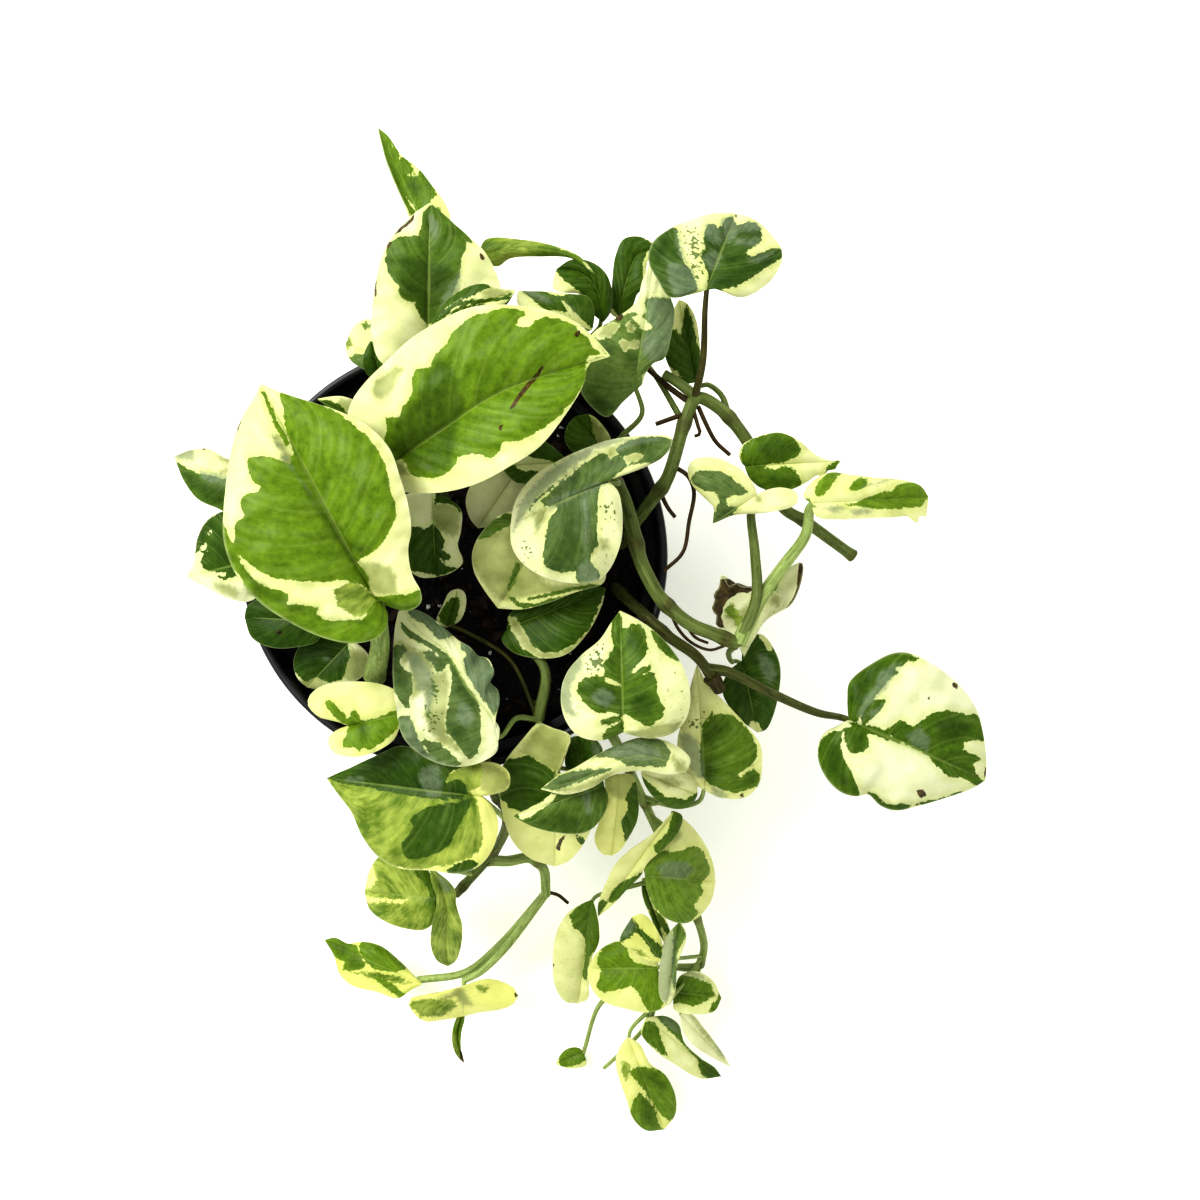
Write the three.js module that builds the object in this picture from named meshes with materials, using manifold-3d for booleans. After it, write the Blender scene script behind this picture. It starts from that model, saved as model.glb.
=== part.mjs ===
// A potted njoy pothos: ten cut-back vines in a black nursery pot, with small cream and green leaves
// that crowd over the rim and trail down to the table on one side.
// Millimetres, +Z up. The origin is the middle of the pot's underside, which stands on the table.

import * as THREE from "three";
import { mergeVertices } from "three/addons/utils/BufferGeometryUtils.js";
import Module from "manifold-3d";

const wasm = await Module();
wasm.setup();

// Pot and soil
const POT_HEIGHT = 115;
const RIM_DIAMETER = 152;
const BAND_DIAMETER = 149;
const BAND_HEIGHT = 16;
const SHOULDER_DIAMETER = 141;
const BASE_DIAMETER = 108;
const BASE_CHAMFER = 1.5;
const BAND_EDGE = 1;
const WALL = 1.6;
const FLOOR = 2;
const RIM_DEPTH = 3;
const RIM_WIDTH = 2.4;
const RIM_ROLL = 1.2;
const DRAIN_HOLES = 8;
const DRAIN_HOLE_DIAMETER = 10;
const DRAIN_CIRCLE_RADIUS = 38;
const DRILL_LENGTH = 8;
const DRILL_FACETS = 10;
const POT_FACETS = 32;
const SOIL_TOP = 100;
const SOIL_LUMP = 0.7;
const SOIL_LUMP_LENGTHS = { across: 30, deep: 37, slantAcross: 70, slantDeep: 48 };
const SOIL_FACETS = 24;
const SOIL_RINGS = 4;
const CLEARANCE = 0.3;
const JOIN_TOLERANCE = 0.05;

// Stems, stalks and roots
const ROOT_DEPTH = 14;
const PEG_RISE = 5;
const PEG_SIDES = 8;
const PEG_CLEARANCE = 0.4;
const STEM_SIDES = 6;
const STEM_STEP = 12;
const STEM_TAPER = 0.85;
const STALK_RADIUS = 1.15;
const STALK_END_RADIUS = 0.5;
const SMALL_STALK_RADIUS = 0.8;
const STALK_SIDES = 4;
const STALK_STEP = 18;
const TWIG_STEP = 10;
const TWIG_TAPER = 0.8;
const STALK_TIP_GAP = 0.85;
const STALK_BEND = 4;
const STALK_REACH = 2;
const SHORTEST_BEND = 6;

// Leaf blades
const BLADE_THICKNESS = 0.7;
const LARGE_BLADE = { over: 34, rows: 9, columns: 3 };
const MIDDLE_BLADE = { rows: 7, columns: 2 };
const SMALL_BLADE = { rows: 5, columns: 2 };

// Places are given as they are seen from straight above, in a square view 1200 across, each with its
// height over the table. The eye is 562 mm over the table, and the pot's rim shows 429 across.
const VIEW_MIDDLE = 600;
const VIEW_FOCUS = 1258;
const EYE = new THREE.Vector3(51.9, -15.5, 562);

function seenAt([across, down, height]) {
  const scale = (EYE.z - height) / VIEW_FOCUS;
  return new THREE.Vector3(
    EYE.x + (across - VIEW_MIDDLE) * scale,
    EYE.y - (down - VIEW_MIDDLE) * scale,
    height,
  );
}

// Points crowd along the midrib towards the notch, where the veins leave it, and the waves of the
// right edge start a little later than those of the left.
const MIDRIB_CROWDING = 1.3;
const RIGHT_WAVE_DELAY = 0.3;
const WIDTH_SAMPLES = 10;

const PLAIN_LEAF = {
  midrib: [],
  arch: 2,
  lift: [1, 1],
  bulge: [1, 1],
  wave: [0.6, 2, 0],
  at: 1,
  via: [],
  stalk: STALK_RADIUS,
  gap: STALK_TIP_GAP,
};

// Each vine is planted where it is seen to enter the soil, and its stem goes on through its points.
// A leaf has the place of its notch and of its point, and the two edges as they are seen on the way
// from the one to the other, left and right of the midrib. arch raises the middle of the midrib, lift
// is how far the two edges stand above it, bulge how far the middles of the halves stand above a
// straight line, all in mm. wave has the height of the edge's waves, their number and their start.
// A leaf leaves the stem where at says, as a share of its length, or grows from the end of a twig.
// A small leaf grows in one piece with its vine.
const VINES = [
  {
    name: "back",
    radius: 1.8,
    planted: [482, 428],
    stem: [[478, 415, 110], [464, 392, 120], [452, 372, 127]],
    leaves: [
      {
        base: [427, 350, 138], tip: [430, 203, 148], arch: 4, lift: [1, -2], bulge: [2, 1],
        left: [[400, 368], [381, 362], [372, 335], [374, 293], [386, 247], [412, 216]],
        right: [[455, 362], [486, 345], [502, 318], [501, 287], [486, 254], [470, 238], [450, 220]],
      },
      {
        base: [432, 240, 130], tip: [378, 128, 116], at: 0.9, via: [[438, 300, 126]], arch: 4,
        bulge: [-1, 1],
        left: [[412, 222], [404, 203], [396, 185], [386, 160], [382, 145]],
        right: [[450, 220], [446, 205], [434, 188], [418, 168], [402, 156], [388, 136]],
      },
      {
        base: [478, 258, 133], tip: [595, 274, 134], at: 0.95, via: [[468, 310, 130]],
        lift: [-1, -3], midrib: [[515, 248], [560, 251], [577, 258]],
        left: [[486, 240], [520, 240], [553, 246], [578, 256]],
        right: [[497, 266], [510, 258], [540, 256], [572, 258]],
      },
      {
        base: [603, 322, 123], tip: [557, 269, 127], at: 0.6, via: [[540, 375, 120]], arch: 3,
        bulge: [1, 2], midrib: [[601, 308], [599, 294], [590, 280], [574, 270]],
        left: [[592, 312], [588, 298], [576, 288], [564, 279]],
        right: [[610, 312], [612, 294], [605, 273], [590, 262], [572, 260]],
      },
      {
        small: true, base: [592, 330, 129], tip: [519, 291, 132], at: 0.7, via: [[540, 350, 122]],
        arch: 2,
        left: [[575, 324], [553, 312], [536, 304], [525, 297]],
        right: [[594, 312], [588, 297], [570, 294], [548, 292]],
      },
      {
        small: true, base: [430, 328, 153], tip: [516, 290, 157], arch: 1, lift: [0, 0],
        via: [[446, 376, 138], [437, 356, 149]],
        left: [[442, 306], [462, 290], [482, 284], [500, 289]],
        right: [[440, 326], [455, 316], [480, 308], [504, 306]],
      },
      {
        small: true, base: [378, 356, 126], tip: [346, 344, 120], via: [[420, 372, 124]],
        left: [[372, 370], [358, 366], [349, 358]],
        right: [[380, 330], [370, 319], [355, 325]],
      },
      {
        small: true, base: [382, 384, 122], tip: [371, 341, 130], at: 0.7, via: [[410, 392, 120]],
        left: [[370, 377], [363, 364], [366, 350]],
        right: [[388, 372], [384, 358], [378, 346]],
      },
    ],
  },
  {
    name: "top",
    radius: 2.05,
    planted: [622, 543],
    stem: [
      [634, 524, 113], [652, 500, 121], [667, 479, 125], [686, 419, 128], [697, 398, 128],
      [719, 408, 126], [744, 436, 122], [783, 507, 114], [806, 522, 111], [853, 556, 104],
    ],
    twigs: [
      { radius: 2, points: [[697, 398, 128], [680, 384, 127], [664, 374, 126]] },
      { radius: 1.1, points: [[692, 404, 127], [670, 388, 124], [648, 369, 122]] },
      { radius: 0.9, points: [[692, 412, 128], [676, 417, 129], [656, 424, 130]] },
      { radius: 0.7, points: [[694, 412, 128], [698, 426, 130], [700, 434, 129], [695, 436, 128]] },
      { radius: 0.8, points: [[698, 406, 127], [708, 428, 126], [716, 442, 125], [730, 455, 124]] },
      {
        radius: 0.8,
        points: [
          [673, 466, 125], [688, 476, 125], [694, 492, 123], [689, 522, 121], [683, 552, 120],
          [664, 571, 119],
        ],
      },
      { radius: 0.8, points: [[661, 494, 121], [668, 508, 121], [675, 517, 120]] },
    ],
    leaves: [
      {
        base: [706, 290, 148], tip: [736, 214, 132], at: 0.42,
        via: [[703, 360, 136], [705, 310, 144]], stalk: 1.4,
        arch: 5, lift: [-2, -4], bulge: [3, 3],
        left: [
          [690, 294], [670, 297], [658, 280], [649, 262], [652, 244], [670, 229], [700, 217],
          [720, 213],
        ],
        right: [
          [716, 288], [740, 297], [762, 288], [778, 270], [782, 252], [772, 236], [760, 224],
          [748, 217],
        ],
      },
      {
        base: [618, 318, 118], tip: [657, 250, 124], at: 0.36,
        via: [[655, 375, 119], [632, 345, 114]], arch: 3, midrib: [[622, 300], [628, 275], [638, 254]],
        left: [[610, 312], [612, 290], [616, 255], [624, 239], [640, 237], [652, 243]],
        right: [[632, 306], [637, 294], [645, 286], [646, 268], [650, 256]],
      },
      {
        base: [695, 382, 116], tip: [679, 300, 122], at: 0.52, via: [[722, 396, 122], [709, 385, 118]],
        left: [[680, 383], [668, 364], [665, 352], [671, 330], [674, 310]],
        right: [[699, 375], [699, 340], [695, 318], [687, 304]],
      },
      {
        base: [745, 466, 133], tip: [841, 461, 128], at: 0.6, via: [[748, 452, 126]], lift: [2, -2],
        bulge: [2, 1],
        left: [[740, 458], [742, 446], [755, 438], [780, 433], [800, 442], [815, 455], [828, 461]],
        right: [[750, 478], [762, 488], [788, 490], [808, 480], [828, 468]],
      },
    ],
  },
  {
    name: "right",
    radius: 2.25,
    planted: [588, 454],
    stem: [
      [598, 462, 112], [612, 478, 126], [624, 500, 133], [634, 534, 135], [640, 559, 135],
      [649, 579, 134], [662, 600, 132], [690, 624, 129], [714, 634, 127], [738, 644, 125],
    ],
    leaves: [
      {
        base: [606, 480, 152], tip: [511, 525, 136], at: 0.22, via: [[618, 484, 145]], arch: 4,
        lift: [-5, 4], bulge: [4, 3], wave: [1.2, 2.5, 0],
        left: [
          [618, 492], [622, 515], [620, 545], [610, 568], [598, 580], [575, 583], [545, 577],
          [522, 562], [512, 545],
        ],
        right: [
          [625, 474], [650, 464], [668, 452], [672, 438], [640, 436], [600, 443], [560, 460],
          [530, 480], [515, 503],
        ],
      },
      {
        base: [548, 522, 130], tip: [498, 608, 122], at: 0.12,
        via: [[585, 480, 120], [566, 505, 126]], arch: 3, bulge: [2, 2],
        left: [[585, 533], [603, 558], [604, 582], [575, 592], [550, 602], [522, 609]],
        right: [[528, 512], [505, 513], [485, 528], [473, 550], [474, 570], [486, 592]],
      },
      {
        base: [635, 390, 138], tip: [655, 252, 134], at: 0.1,
        via: [[622, 436, 126], [642, 414, 132]], arch: 4,
        lift: [-2, -2], bulge: [2, 1], wave: [1.2, 2.5, 0],
        left: [
          [622, 402], [607, 417], [590, 405], [580, 388], [583, 360], [592, 335], [617, 318],
          [636, 303], [643, 280],
        ],
        right: [
          [641, 385], [646, 372], [654, 362], [664, 358], [671, 335], [674, 310], [668, 292],
          [661, 272],
        ],
      },
      {
        base: [757, 495, 141], tip: [713, 523, 135],
        via: [[756, 600, 126], [755, 554, 127], [751, 514, 131]], arch: 2,
        lift: [-1, 1], bulge: [1, 2],
        left: [[775, 488], [796, 492], [797, 503], [780, 510], [755, 513], [735, 514]],
        right: [[752, 482], [735, 466], [705, 457], [689, 464], [690, 480], [700, 493], [714, 505]],
      },
      {
        base: [812, 503, 138], tip: [928, 497, 122],
        via: [[760, 600, 124], [782, 568, 124], [806, 534, 130]], stalk: 1.6,
        lift: [-2, -3], bulge: [2, 1], arch: 3,
        left: [[804, 496], [812, 482], [830, 473], [850, 475], [875, 478], [900, 480], [920, 486]],
        right: [[816, 516], [840, 519], [870, 518], [897, 517], [918, 510]],
      },
      {
        base: [772, 582, 115], tip: [744, 657, 107], lift: [3, 4], bulge: [-2, -2],
        via: [[760, 608, 122]], over: true,
        left: [[790, 567], [802, 563], [800, 585], [790, 605], [768, 618], [753, 640]],
        right: [[757, 590], [740, 584], [722, 592], [713, 605], [716, 622], [728, 634], [738, 645]],
      },
      {
        base: [742, 661, 101], tip: [757, 732, 90], via: [[729, 652, 117], [732, 662, 103]], arch: 2,
        bulge: [2, 1],
        left: [[745, 644], [760, 634], [773, 648], [780, 668], [778, 695], [773, 715], [766, 729]],
        right: [[730, 670], [722, 688], [728, 705], [742, 721]],
      },
      {
        base: [604, 455, 124], tip: [576, 416, 128], at: 0.1, arch: 1,
        left: [[590, 457], [572, 451], [565, 440], [568, 425]],
        right: [[611, 442], [603, 426], [590, 415]],
      },
    ],
  },
  {
    name: "long",
    radius: 1.9,
    planted: [616, 588],
    stem: [
      [626, 598, 112], [648, 618, 121], [668, 636, 122], [695, 655, 120], [706, 668, 118],
      [719, 688, 115],
    ],
    leaves: [
      {
        base: [849, 720, 97], tip: [985, 780, 88], at: 0.85,
        via: [[728, 672, 116], [769, 692, 112], [815, 712, 105]],
        stalk: 1.6, arch: 6, lift: [-3, -4], bulge: [4, 4], wave: [1.2, 2.5, 0],
        left: [
          [848, 700], [850, 682], [870, 665], [895, 653], [912, 654], [932, 664], [956, 682],
          [975, 707], [983, 735], [986, 762],
        ],
        right: [
          [838, 726], [824, 734], [818, 750], [822, 770], [838, 790], [855, 796], [868, 794],
          [880, 805], [895, 810], [920, 805], [950, 796], [972, 788],
        ],
      },
      {
        base: [623, 732, 136], tip: [620, 611, 132], at: 0.4,
        via: [[640, 668, 124], [628, 712, 128]], arch: 5,
        lift: [-3, -3], bulge: [3, 3],
        left: [
          [600, 740], [578, 735], [565, 718], [561, 695], [566, 675], [580, 657], [600, 640],
          [612, 622],
        ],
        right: [
          [650, 738], [672, 733], [686, 718], [690, 695], [684, 670], [672, 650], [655, 632],
          [636, 619],
        ],
      },
    ],
  },
  {
    name: "front_right",
    radius: 1.9,
    planted: [578, 676],
    stem: [
      [585, 690, 112], [600, 714, 121], [618, 746, 114], [634, 780, 96], [646, 806, 84], [661, 838, 68],
      [680, 875, 56], [695, 912, 46], [704, 946, 38], [700, 966, 34],
    ],
    twigs: [
      {
        radius: 1.5,
        points: [[701, 964, 34], [690, 968, 35], [668, 968, 38], [662, 985, 36], [655, 1004, 30]],
      },
      { radius: 1.1, points: [[662, 985, 36], [630, 990, 30], [602, 1002, 22], [583, 1054, 6]] },
      { radius: 1, points: [[655, 1004, 30], [650, 1020, 24], [627, 1047, 14], [604, 1068, 8]] },
    ],
    leaves: [
      {
        base: [686, 772, 131], tip: [541, 789, 125], at: 0.3,
        via: [[640, 745, 118], [676, 766, 123]], arch: 4,
        lift: [-3, -3], bulge: [1, 1], midrib: [[668, 762], [640, 756], [612, 763], [585, 778]],
        left: [[668, 774], [640, 770], [612, 775], [590, 788], [565, 794]],
        right: [
          [690, 760], [682, 750], [665, 741], [640, 738], [618, 745], [597, 755], [575, 768],
          [558, 776],
        ],
      },
      {
        base: [697, 795, 104], tip: [641, 772, 111], at: 0.45, via: [[670, 800, 94]], arch: 2,
        bulge: [2, 2], lift: [-2, 1],
        left: [[690, 806], [672, 808], [655, 798], [645, 784]],
        right: [[695, 780], [675, 768], [655, 765]],
      },
      {
        base: [620, 774, 106], tip: [612, 855, 84], at: 0.42, arch: 3, lift: [-2, -2], bulge: [1, 2],
        left: [[632, 775], [638, 795], [637, 820], [628, 838], [620, 850]],
        right: [[606, 778], [607, 800], [600, 820], [595, 840], [602, 853]],
      },
      {
        base: [645, 876, 80], tip: [715, 882, 60], at: 0.6, via: [[660, 870, 70]], arch: 4,
        lift: [-3, -3], bulge: [3, 3],
        left: [[645, 860], [655, 848], [668, 836], [680, 818], [690, 825], [705, 845], [713, 865]],
        right: [[648, 892], [655, 908], [668, 919], [685, 923], [700, 915], [711, 900]],
      },
      {
        base: [674, 811, 94], tip: [598, 916, 62], at: 0.5, via: [[672, 830, 82]], arch: 3, lift: [-3, 2],
        left: [[682, 816], [678, 832], [664, 848], [648, 862], [640, 876], [628, 888], [612, 905]],
        right: [[664, 822], [650, 836], [630, 850], [615, 865], [605, 885], [598, 905]],
      },
      {
        base: [658, 968, 50], tip: [588, 968, 45], arch: 2, bulge: [2, 2], lift: [-2, -2],
        left: [[660, 988], [668, 1003], [650, 1012], [625, 1008], [602, 1000], [590, 984]],
        right: [[655, 950], [635, 940], [615, 942], [598, 952]],
      },
      {
        base: [592, 900, 60], tip: [578, 1003, 20], at: 0.7, via: [[640, 884, 62]], arch: 3,
        lift: [-2, -3], bulge: [1, 2],
        left: [[597, 915], [599, 940], [592, 958], [589, 980], [588, 998]],
        right: [[580, 905], [566, 915], [556, 935], [553, 960], [555, 985], [565, 1001]],
      },
      {
        base: [628, 1037, 30], tip: [664, 1129, 12], via: [[650, 1010, 32]], arch: 3, lift: [-2, -3],
        bulge: [2, 2],
        left: [[640, 1045], [650, 1064], [665, 1075], [675, 1095], [675, 1114]],
        right: [[621, 1046], [616, 1060], [620, 1080], [627, 1100], [633, 1118], [646, 1130]],
      },
      {
        base: [646, 1018, 34], tip: [721, 1076, 10], arch: 2, lift: [-1, -1],
        left: [[665, 1016], [678, 1024], [684, 1042], [700, 1058], [714, 1067]],
        right: [[641, 1032], [655, 1050], [675, 1064], [700, 1078]],
      },
      {
        base: [680, 1014, 36], tip: [731, 1067, 12], arch: 2, lift: [-1, -1],
        left: [[691, 1014], [705, 1030], [719, 1048]],
        right: [[683, 1030], [694, 1045], [714, 1058]],
      },
      {
        base: [705, 790, 104], tip: [697, 665, 111], at: 0.42, via: [[675, 806, 90], [698, 802, 96]],
        arch: 3, lift: [-2, -3], bulge: [2, 3],
        left: [[690, 780], [680, 765], [678, 740], [684, 715], [690, 690]],
        right: [
          [720, 797], [745, 797], [758, 785], [762, 765], [760, 745], [748, 728], [730, 708],
          [708, 685],
        ],
      },
      {
        small: true, base: [674, 992, 44], tip: [721, 998, 36], at: 0.97, arch: 1,
        left: [[680, 976], [695, 971], [712, 980]],
        right: [[675, 1010], [695, 1014], [714, 1011]],
      },
      {
        small: true, base: [661, 962, 56], tip: [632, 917, 64], at: 0.97,
        left: [[648, 960], [632, 950], [620, 941]],
        right: [[662, 944], [652, 922], [642, 914]],
      },
      {
        small: true, base: [667, 1006, 52], tip: [680, 921, 58], at: 0.99, lift: [0, 2],
        left: [[660, 996], [660, 965], [666, 938]],
        right: [[674, 995], [677, 965], [686, 935]],
      },
      {
        small: true, base: [642, 878, 58], tip: [664, 943, 44], at: 0.72,
        left: [[650, 893], [662, 912], [670, 934]],
        right: [[643, 896], [652, 920]],
      },
      {
        small: true, base: [583, 1052, 7], tip: [556, 1064, 4], twig: 1, arch: 1, lift: [0, 0],
        left: [[586, 1064], [570, 1068]],
        right: [[578, 1048], [567, 1049], [560, 1056]],
      },
    ],
  },
  {
    name: "front",
    radius: 1.5,
    planted: [536, 704],
    stem: [[536, 712, 112], [541, 730, 118.4], [547, 750, 118.6], [560, 780, 106]],
    leaves: [
      {
        base: [498, 741, 138], tip: [399, 611, 134], at: 0.3, via: [[517, 718, 124]], arch: 3,
        midrib: [[492, 718], [468, 688], [445, 650], [422, 633]], lift: [-6, -3], bulge: [3, 1],
        wave: [1.5, 4, 0],
        left: [
          [496, 752], [478, 763], [450, 766], [425, 757], [404, 738], [396, 705], [393, 670],
          [394, 642], [396, 624],
        ],
        right: [
          [499, 725], [499, 700], [492, 670], [484, 656], [470, 652], [458, 640], [446, 630],
          [432, 618], [415, 610],
        ],
      },
      {
        base: [556, 774, 122], tip: [555, 866, 90], at: 0.7, via: [[556, 770, 114]], gap: 1.5,
        arch: 4, lift: [0, 5], bulge: [1.5, 0],
        left: [[566, 750], [576, 748], [588, 770], [594, 800], [591, 828], [581, 847], [568, 861]],
        right: [
          [548, 742], [534, 730], [516, 745], [503, 765], [499, 785], [503, 815], [512, 840],
          [530, 858],
        ],
      },
      {
        base: [604, 786, 119], tip: [514, 816, 119], arch: 2, lift: [-3, 1], bulge: [1.5, 1],
        via: [[580, 802, 98], [603, 798, 104]],
        left: [[608, 800], [600, 820], [585, 832], [555, 832], [530, 825]],
        right: [[600, 775], [582, 772], [562, 784], [545, 799], [528, 809]],
      },
      {
        base: [508, 628, 114], tip: [606, 588, 112], at: 0.3,
        via: [[545, 670, 116], [525, 645, 112]], arch: 3, lift: [0, 2],
        left: [[510, 614], [535, 604], [570, 594], [592, 586]],
        right: [[502, 640], [513, 652], [535, 658], [565, 655], [588, 632], [601, 607]],
      },
      {
        small: true, base: [447, 627, 115], tip: [458, 589, 117], at: 0.3,
        via: [[510, 660, 113], [470, 634, 113]], arch: 1,
        left: [[437, 622], [443, 605], [450, 592]],
        right: [[460, 620], [466, 604], [464, 592]],
      },
      {
        small: true, base: [585, 774, 110], tip: [578, 736, 114], at: 0.8, arch: 1,
        left: [[567, 768], [566, 750], [571, 738]],
        right: [[600, 770], [602, 748], [590, 736]],
      },
    ],
  },
  {
    name: "front_left",
    radius: 1.8,
    planted: [470, 698],
    stem: [
      [474, 712, 114], [480, 742, 120], [486, 768, 119], [494, 792, 108], [508, 815, 86],
      [500, 842, 70], [485, 862, 61], [456, 894, 52],
    ],
    twigs: [
      {
        radius: 1.5,
        points: [[487, 860, 62], [508, 861, 56], [530, 858, 51], [543, 868, 47], [546, 895, 41]],
      },
      { radius: 0.8, points: [[546, 892, 41], [558, 895, 38], [568, 903, 36]] },
      { radius: 1.3, points: [[546, 893, 41], [500, 945, 34], [466, 972, 30], [418, 980, 24]] },
      { radius: 1.3, points: [[546, 893, 41], [505, 948, 40], [480, 972, 36], [464, 980, 33]] },
    ],
    leaves: [
      {
        base: [480, 796, 123], tip: [327, 778, 109], at: 0.6, arch: 5, lift: [-6, 3], bulge: [3, 2],
        left: [
          [490, 804], [498, 822], [494, 845], [480, 865], [460, 873], [430, 870], [400, 868],
          [378, 856], [362, 835], [352, 812], [340, 796],
        ],
        right: [
          [492, 794], [508, 788], [509, 773], [495, 763], [465, 763], [440, 760], [420, 750],
          [400, 746], [378, 755], [350, 768],
        ],
      },
      {
        base: [436, 898, 62], tip: [365, 892, 46], arch: 4, lift: [-3, -2], bulge: [2, 2],
        left: [[436, 918], [425, 929], [405, 928], [385, 921], [370, 909]],
        right: [[432, 882], [424, 864], [405, 857], [382, 855], [370, 870]],
      },
      {
        base: [430, 868, 74], tip: [448, 966, 42], at: 0.9, arch: 3, lift: [-1, -2],
        midrib: [[438, 882], [446, 904], [447, 925], [446, 946]],
        left: [[445, 878], [455, 890], [456, 905], [462, 925], [461, 945], [456, 960]],
        right: [[431, 880], [437, 900], [432, 925], [431, 945], [437, 960]],
      },
      {
        base: [422, 984, 26], tip: [325, 940, 20], twig: 2, arch: 3, lift: [-3, -3], bulge: [1, 2],
        left: [[410, 990], [398, 998], [378, 992], [352, 985], [340, 974], [334, 955]],
        right: [[412, 974], [398, 960], [380, 946], [362, 942], [348, 944], [335, 938]],
      },
      {
        base: [464, 986, 36], tip: [463, 1016, 16], twig: 3, arch: 3, lift: [-4, -4], bulge: [1, 1],
        left: [[485, 979], [503, 982], [518, 993], [513, 1004], [495, 1010], [478, 1012]],
        right: [[445, 991], [425, 995], [408, 1000], [414, 1013], [424, 1021], [445, 1019]],
      },
      {
        small: true, base: [464, 1008, 14], tip: [464, 1063, 6], twig: 3, via: [[464, 992, 24]],
        midrib: [[458, 1036]],
        left: [[464, 1020], [461, 1032], [461, 1048]],
        right: [[456, 1020], [452, 1038], [456, 1054]],
      },
    ],
  },
  {
    name: "left",
    radius: 1.8,
    planted: [335, 560],
    stem: [[328, 558, 110], [316, 552, 120]],
    leaves: [
      {
        base: [240, 485, 130], tip: [175, 456, 122], arch: 2, bulge: [1, -1], lift: [-1, 2],
        left: [[234, 513], [215, 507], [198, 499], [185, 482], [178, 466]],
        right: [[240, 463], [225, 458], [208, 449], [190, 450]],
      },
      {
        base: [256, 560, 126], tip: [187, 577, 114], arch: 2, bulge: [1, 2], lift: [-3, -2],
        left: [[262, 590], [250, 601], [228, 598], [208, 588]],
        right: [[250, 525], [228, 511], [208, 520], [198, 538], [194, 562]],
      },
      {
        base: [322, 622, 122], tip: [245, 617, 120], arch: 3, bulge: [1, 1], lift: [-2, -1],
        left: [[318, 640], [295, 647], [270, 647], [252, 637]],
        right: [[312, 600], [285, 594], [262, 598], [248, 606]],
      },
      {
        base: [352, 640, 112], tip: [307, 687, 110], arch: 2, bulge: [1, 1], lift: [-1, -1],
        left: [[368, 655], [366, 672], [350, 684], [325, 690]],
        right: [[325, 632], [303, 642], [294, 660], [297, 677]],
      },
      {
        small: true, base: [356, 418, 122], tip: [318, 399, 119], arch: 1,
        left: [[345, 416], [330, 408]],
        right: [[358, 404], [345, 397], [330, 397]],
      },
    ],
  },
  {
    name: "crown",
    radius: 2,
    planted: [372, 688],
    stem: [[373, 684, 109], [375, 676, 118]],
    leaves: [
      {
        base: [374, 598, 154], tip: [261, 384, 162], via: [[380, 640, 142]], stalk: 1.8, arch: 6,
        lift: [2, 3], bulge: [4, 4],
        left: [
          [386, 610], [387, 624], [378, 637], [355, 643], [325, 638], [290, 622], [260, 602],
          [235, 572], [224, 540], [224, 510], [227, 480], [234, 440], [244, 415], [256, 395],
        ],
        right: [
          [392, 607], [410, 610], [421, 602], [420, 590], [412, 575], [408, 550], [411, 530],
          [408, 505], [400, 478], [390, 450], [370, 428], [340, 412], [310, 402], [282, 393],
        ],
      },
      {
        base: [349, 726, 130], tip: [411, 712, 128], at: 0.5, arch: 3, lift: [1, 1], bulge: [1, 1],
        left: [
          [335, 720], [320, 717], [308, 705], [310, 695], [322, 686], [345, 682], [375, 683],
          [398, 692],
        ],
        right: [[336, 731], [328, 740], [333, 752], [350, 757], [372, 753], [393, 740], [402, 722]],
      },
    ],
  },
  {
    name: "middle",
    radius: 1.8,
    planted: [455, 522],
    stem: [[450, 512, 107], [444, 494, 113], [438, 478, 120]],
    leaves: [
      {
        base: [392, 464, 150], tip: [610, 356, 164], via: [[418, 470, 137]], arch: 6, lift: [3, 3],
        bulge: [4, 3],
        midrib: [[440, 431], [500, 392]],
        left: [
          [382, 455], [362, 440], [348, 420], [352, 402], [365, 383], [385, 363], [410, 340],
          [440, 321], [470, 308], [500, 305], [540, 309], [570, 320], [592, 336],
        ],
        right: [
          [385, 478], [394, 489], [420, 493], [450, 491], [480, 482], [510, 466], [540, 446],
          [565, 415], [583, 385], [588, 366], [594, 359],
        ],
      },
      {
        base: [432, 493, 126], tip: [436, 577, 118], arch: 2, bulge: [1, 1],
        left: [[450, 500], [461, 510], [461, 530], [458, 546], [463, 562], [452, 572]],
        right: [[415, 492], [400, 500], [402, 540], [408, 568], [420, 577]],
      },
      {
        base: [516, 472, 124], tip: [478, 528, 118], arch: 2, bulge: [1, 1],
        left: [[526, 490], [515, 512], [495, 525]],
        right: [[496, 467], [475, 479], [466, 500], [470, 518]],
      },
      {
        base: [569, 462, 126], tip: [500, 466, 126], arch: 2, bulge: [1, 1],
        left: [[560, 472], [540, 480], [518, 483], [507, 474]],
        right: [[556, 450], [540, 440], [520, 450], [506, 458]],
      },
    ],
  },
];

const MATERIALS = {
  pot: new THREE.MeshStandardMaterial({ color: 0x1b1c1e, roughness: 0.45, metalness: 0 }),
  soil: new THREE.MeshStandardMaterial({ color: 0x231b16, roughness: 0.95, metalness: 0 }),
  vine: new THREE.MeshStandardMaterial({ color: 0x6f8a5a, roughness: 0.55, metalness: 0 }),
  leaf: new THREE.MeshStandardMaterial({ color: 0x6fa23c, roughness: 0.4, metalness: 0 }),
};

// Solids

function solidOf(geometry) {
  geometry.deleteAttribute("normal");
  geometry.deleteAttribute("uv");
  const closed = mergeVertices(geometry, 1e-4);
  return new wasm.Manifold(
    new wasm.Mesh({
      numProp: 3,
      vertProperties: new Float32Array(closed.attributes.position.array),
      triVerts: new Uint32Array(closed.index.array),
    }),
  );
}

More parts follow.
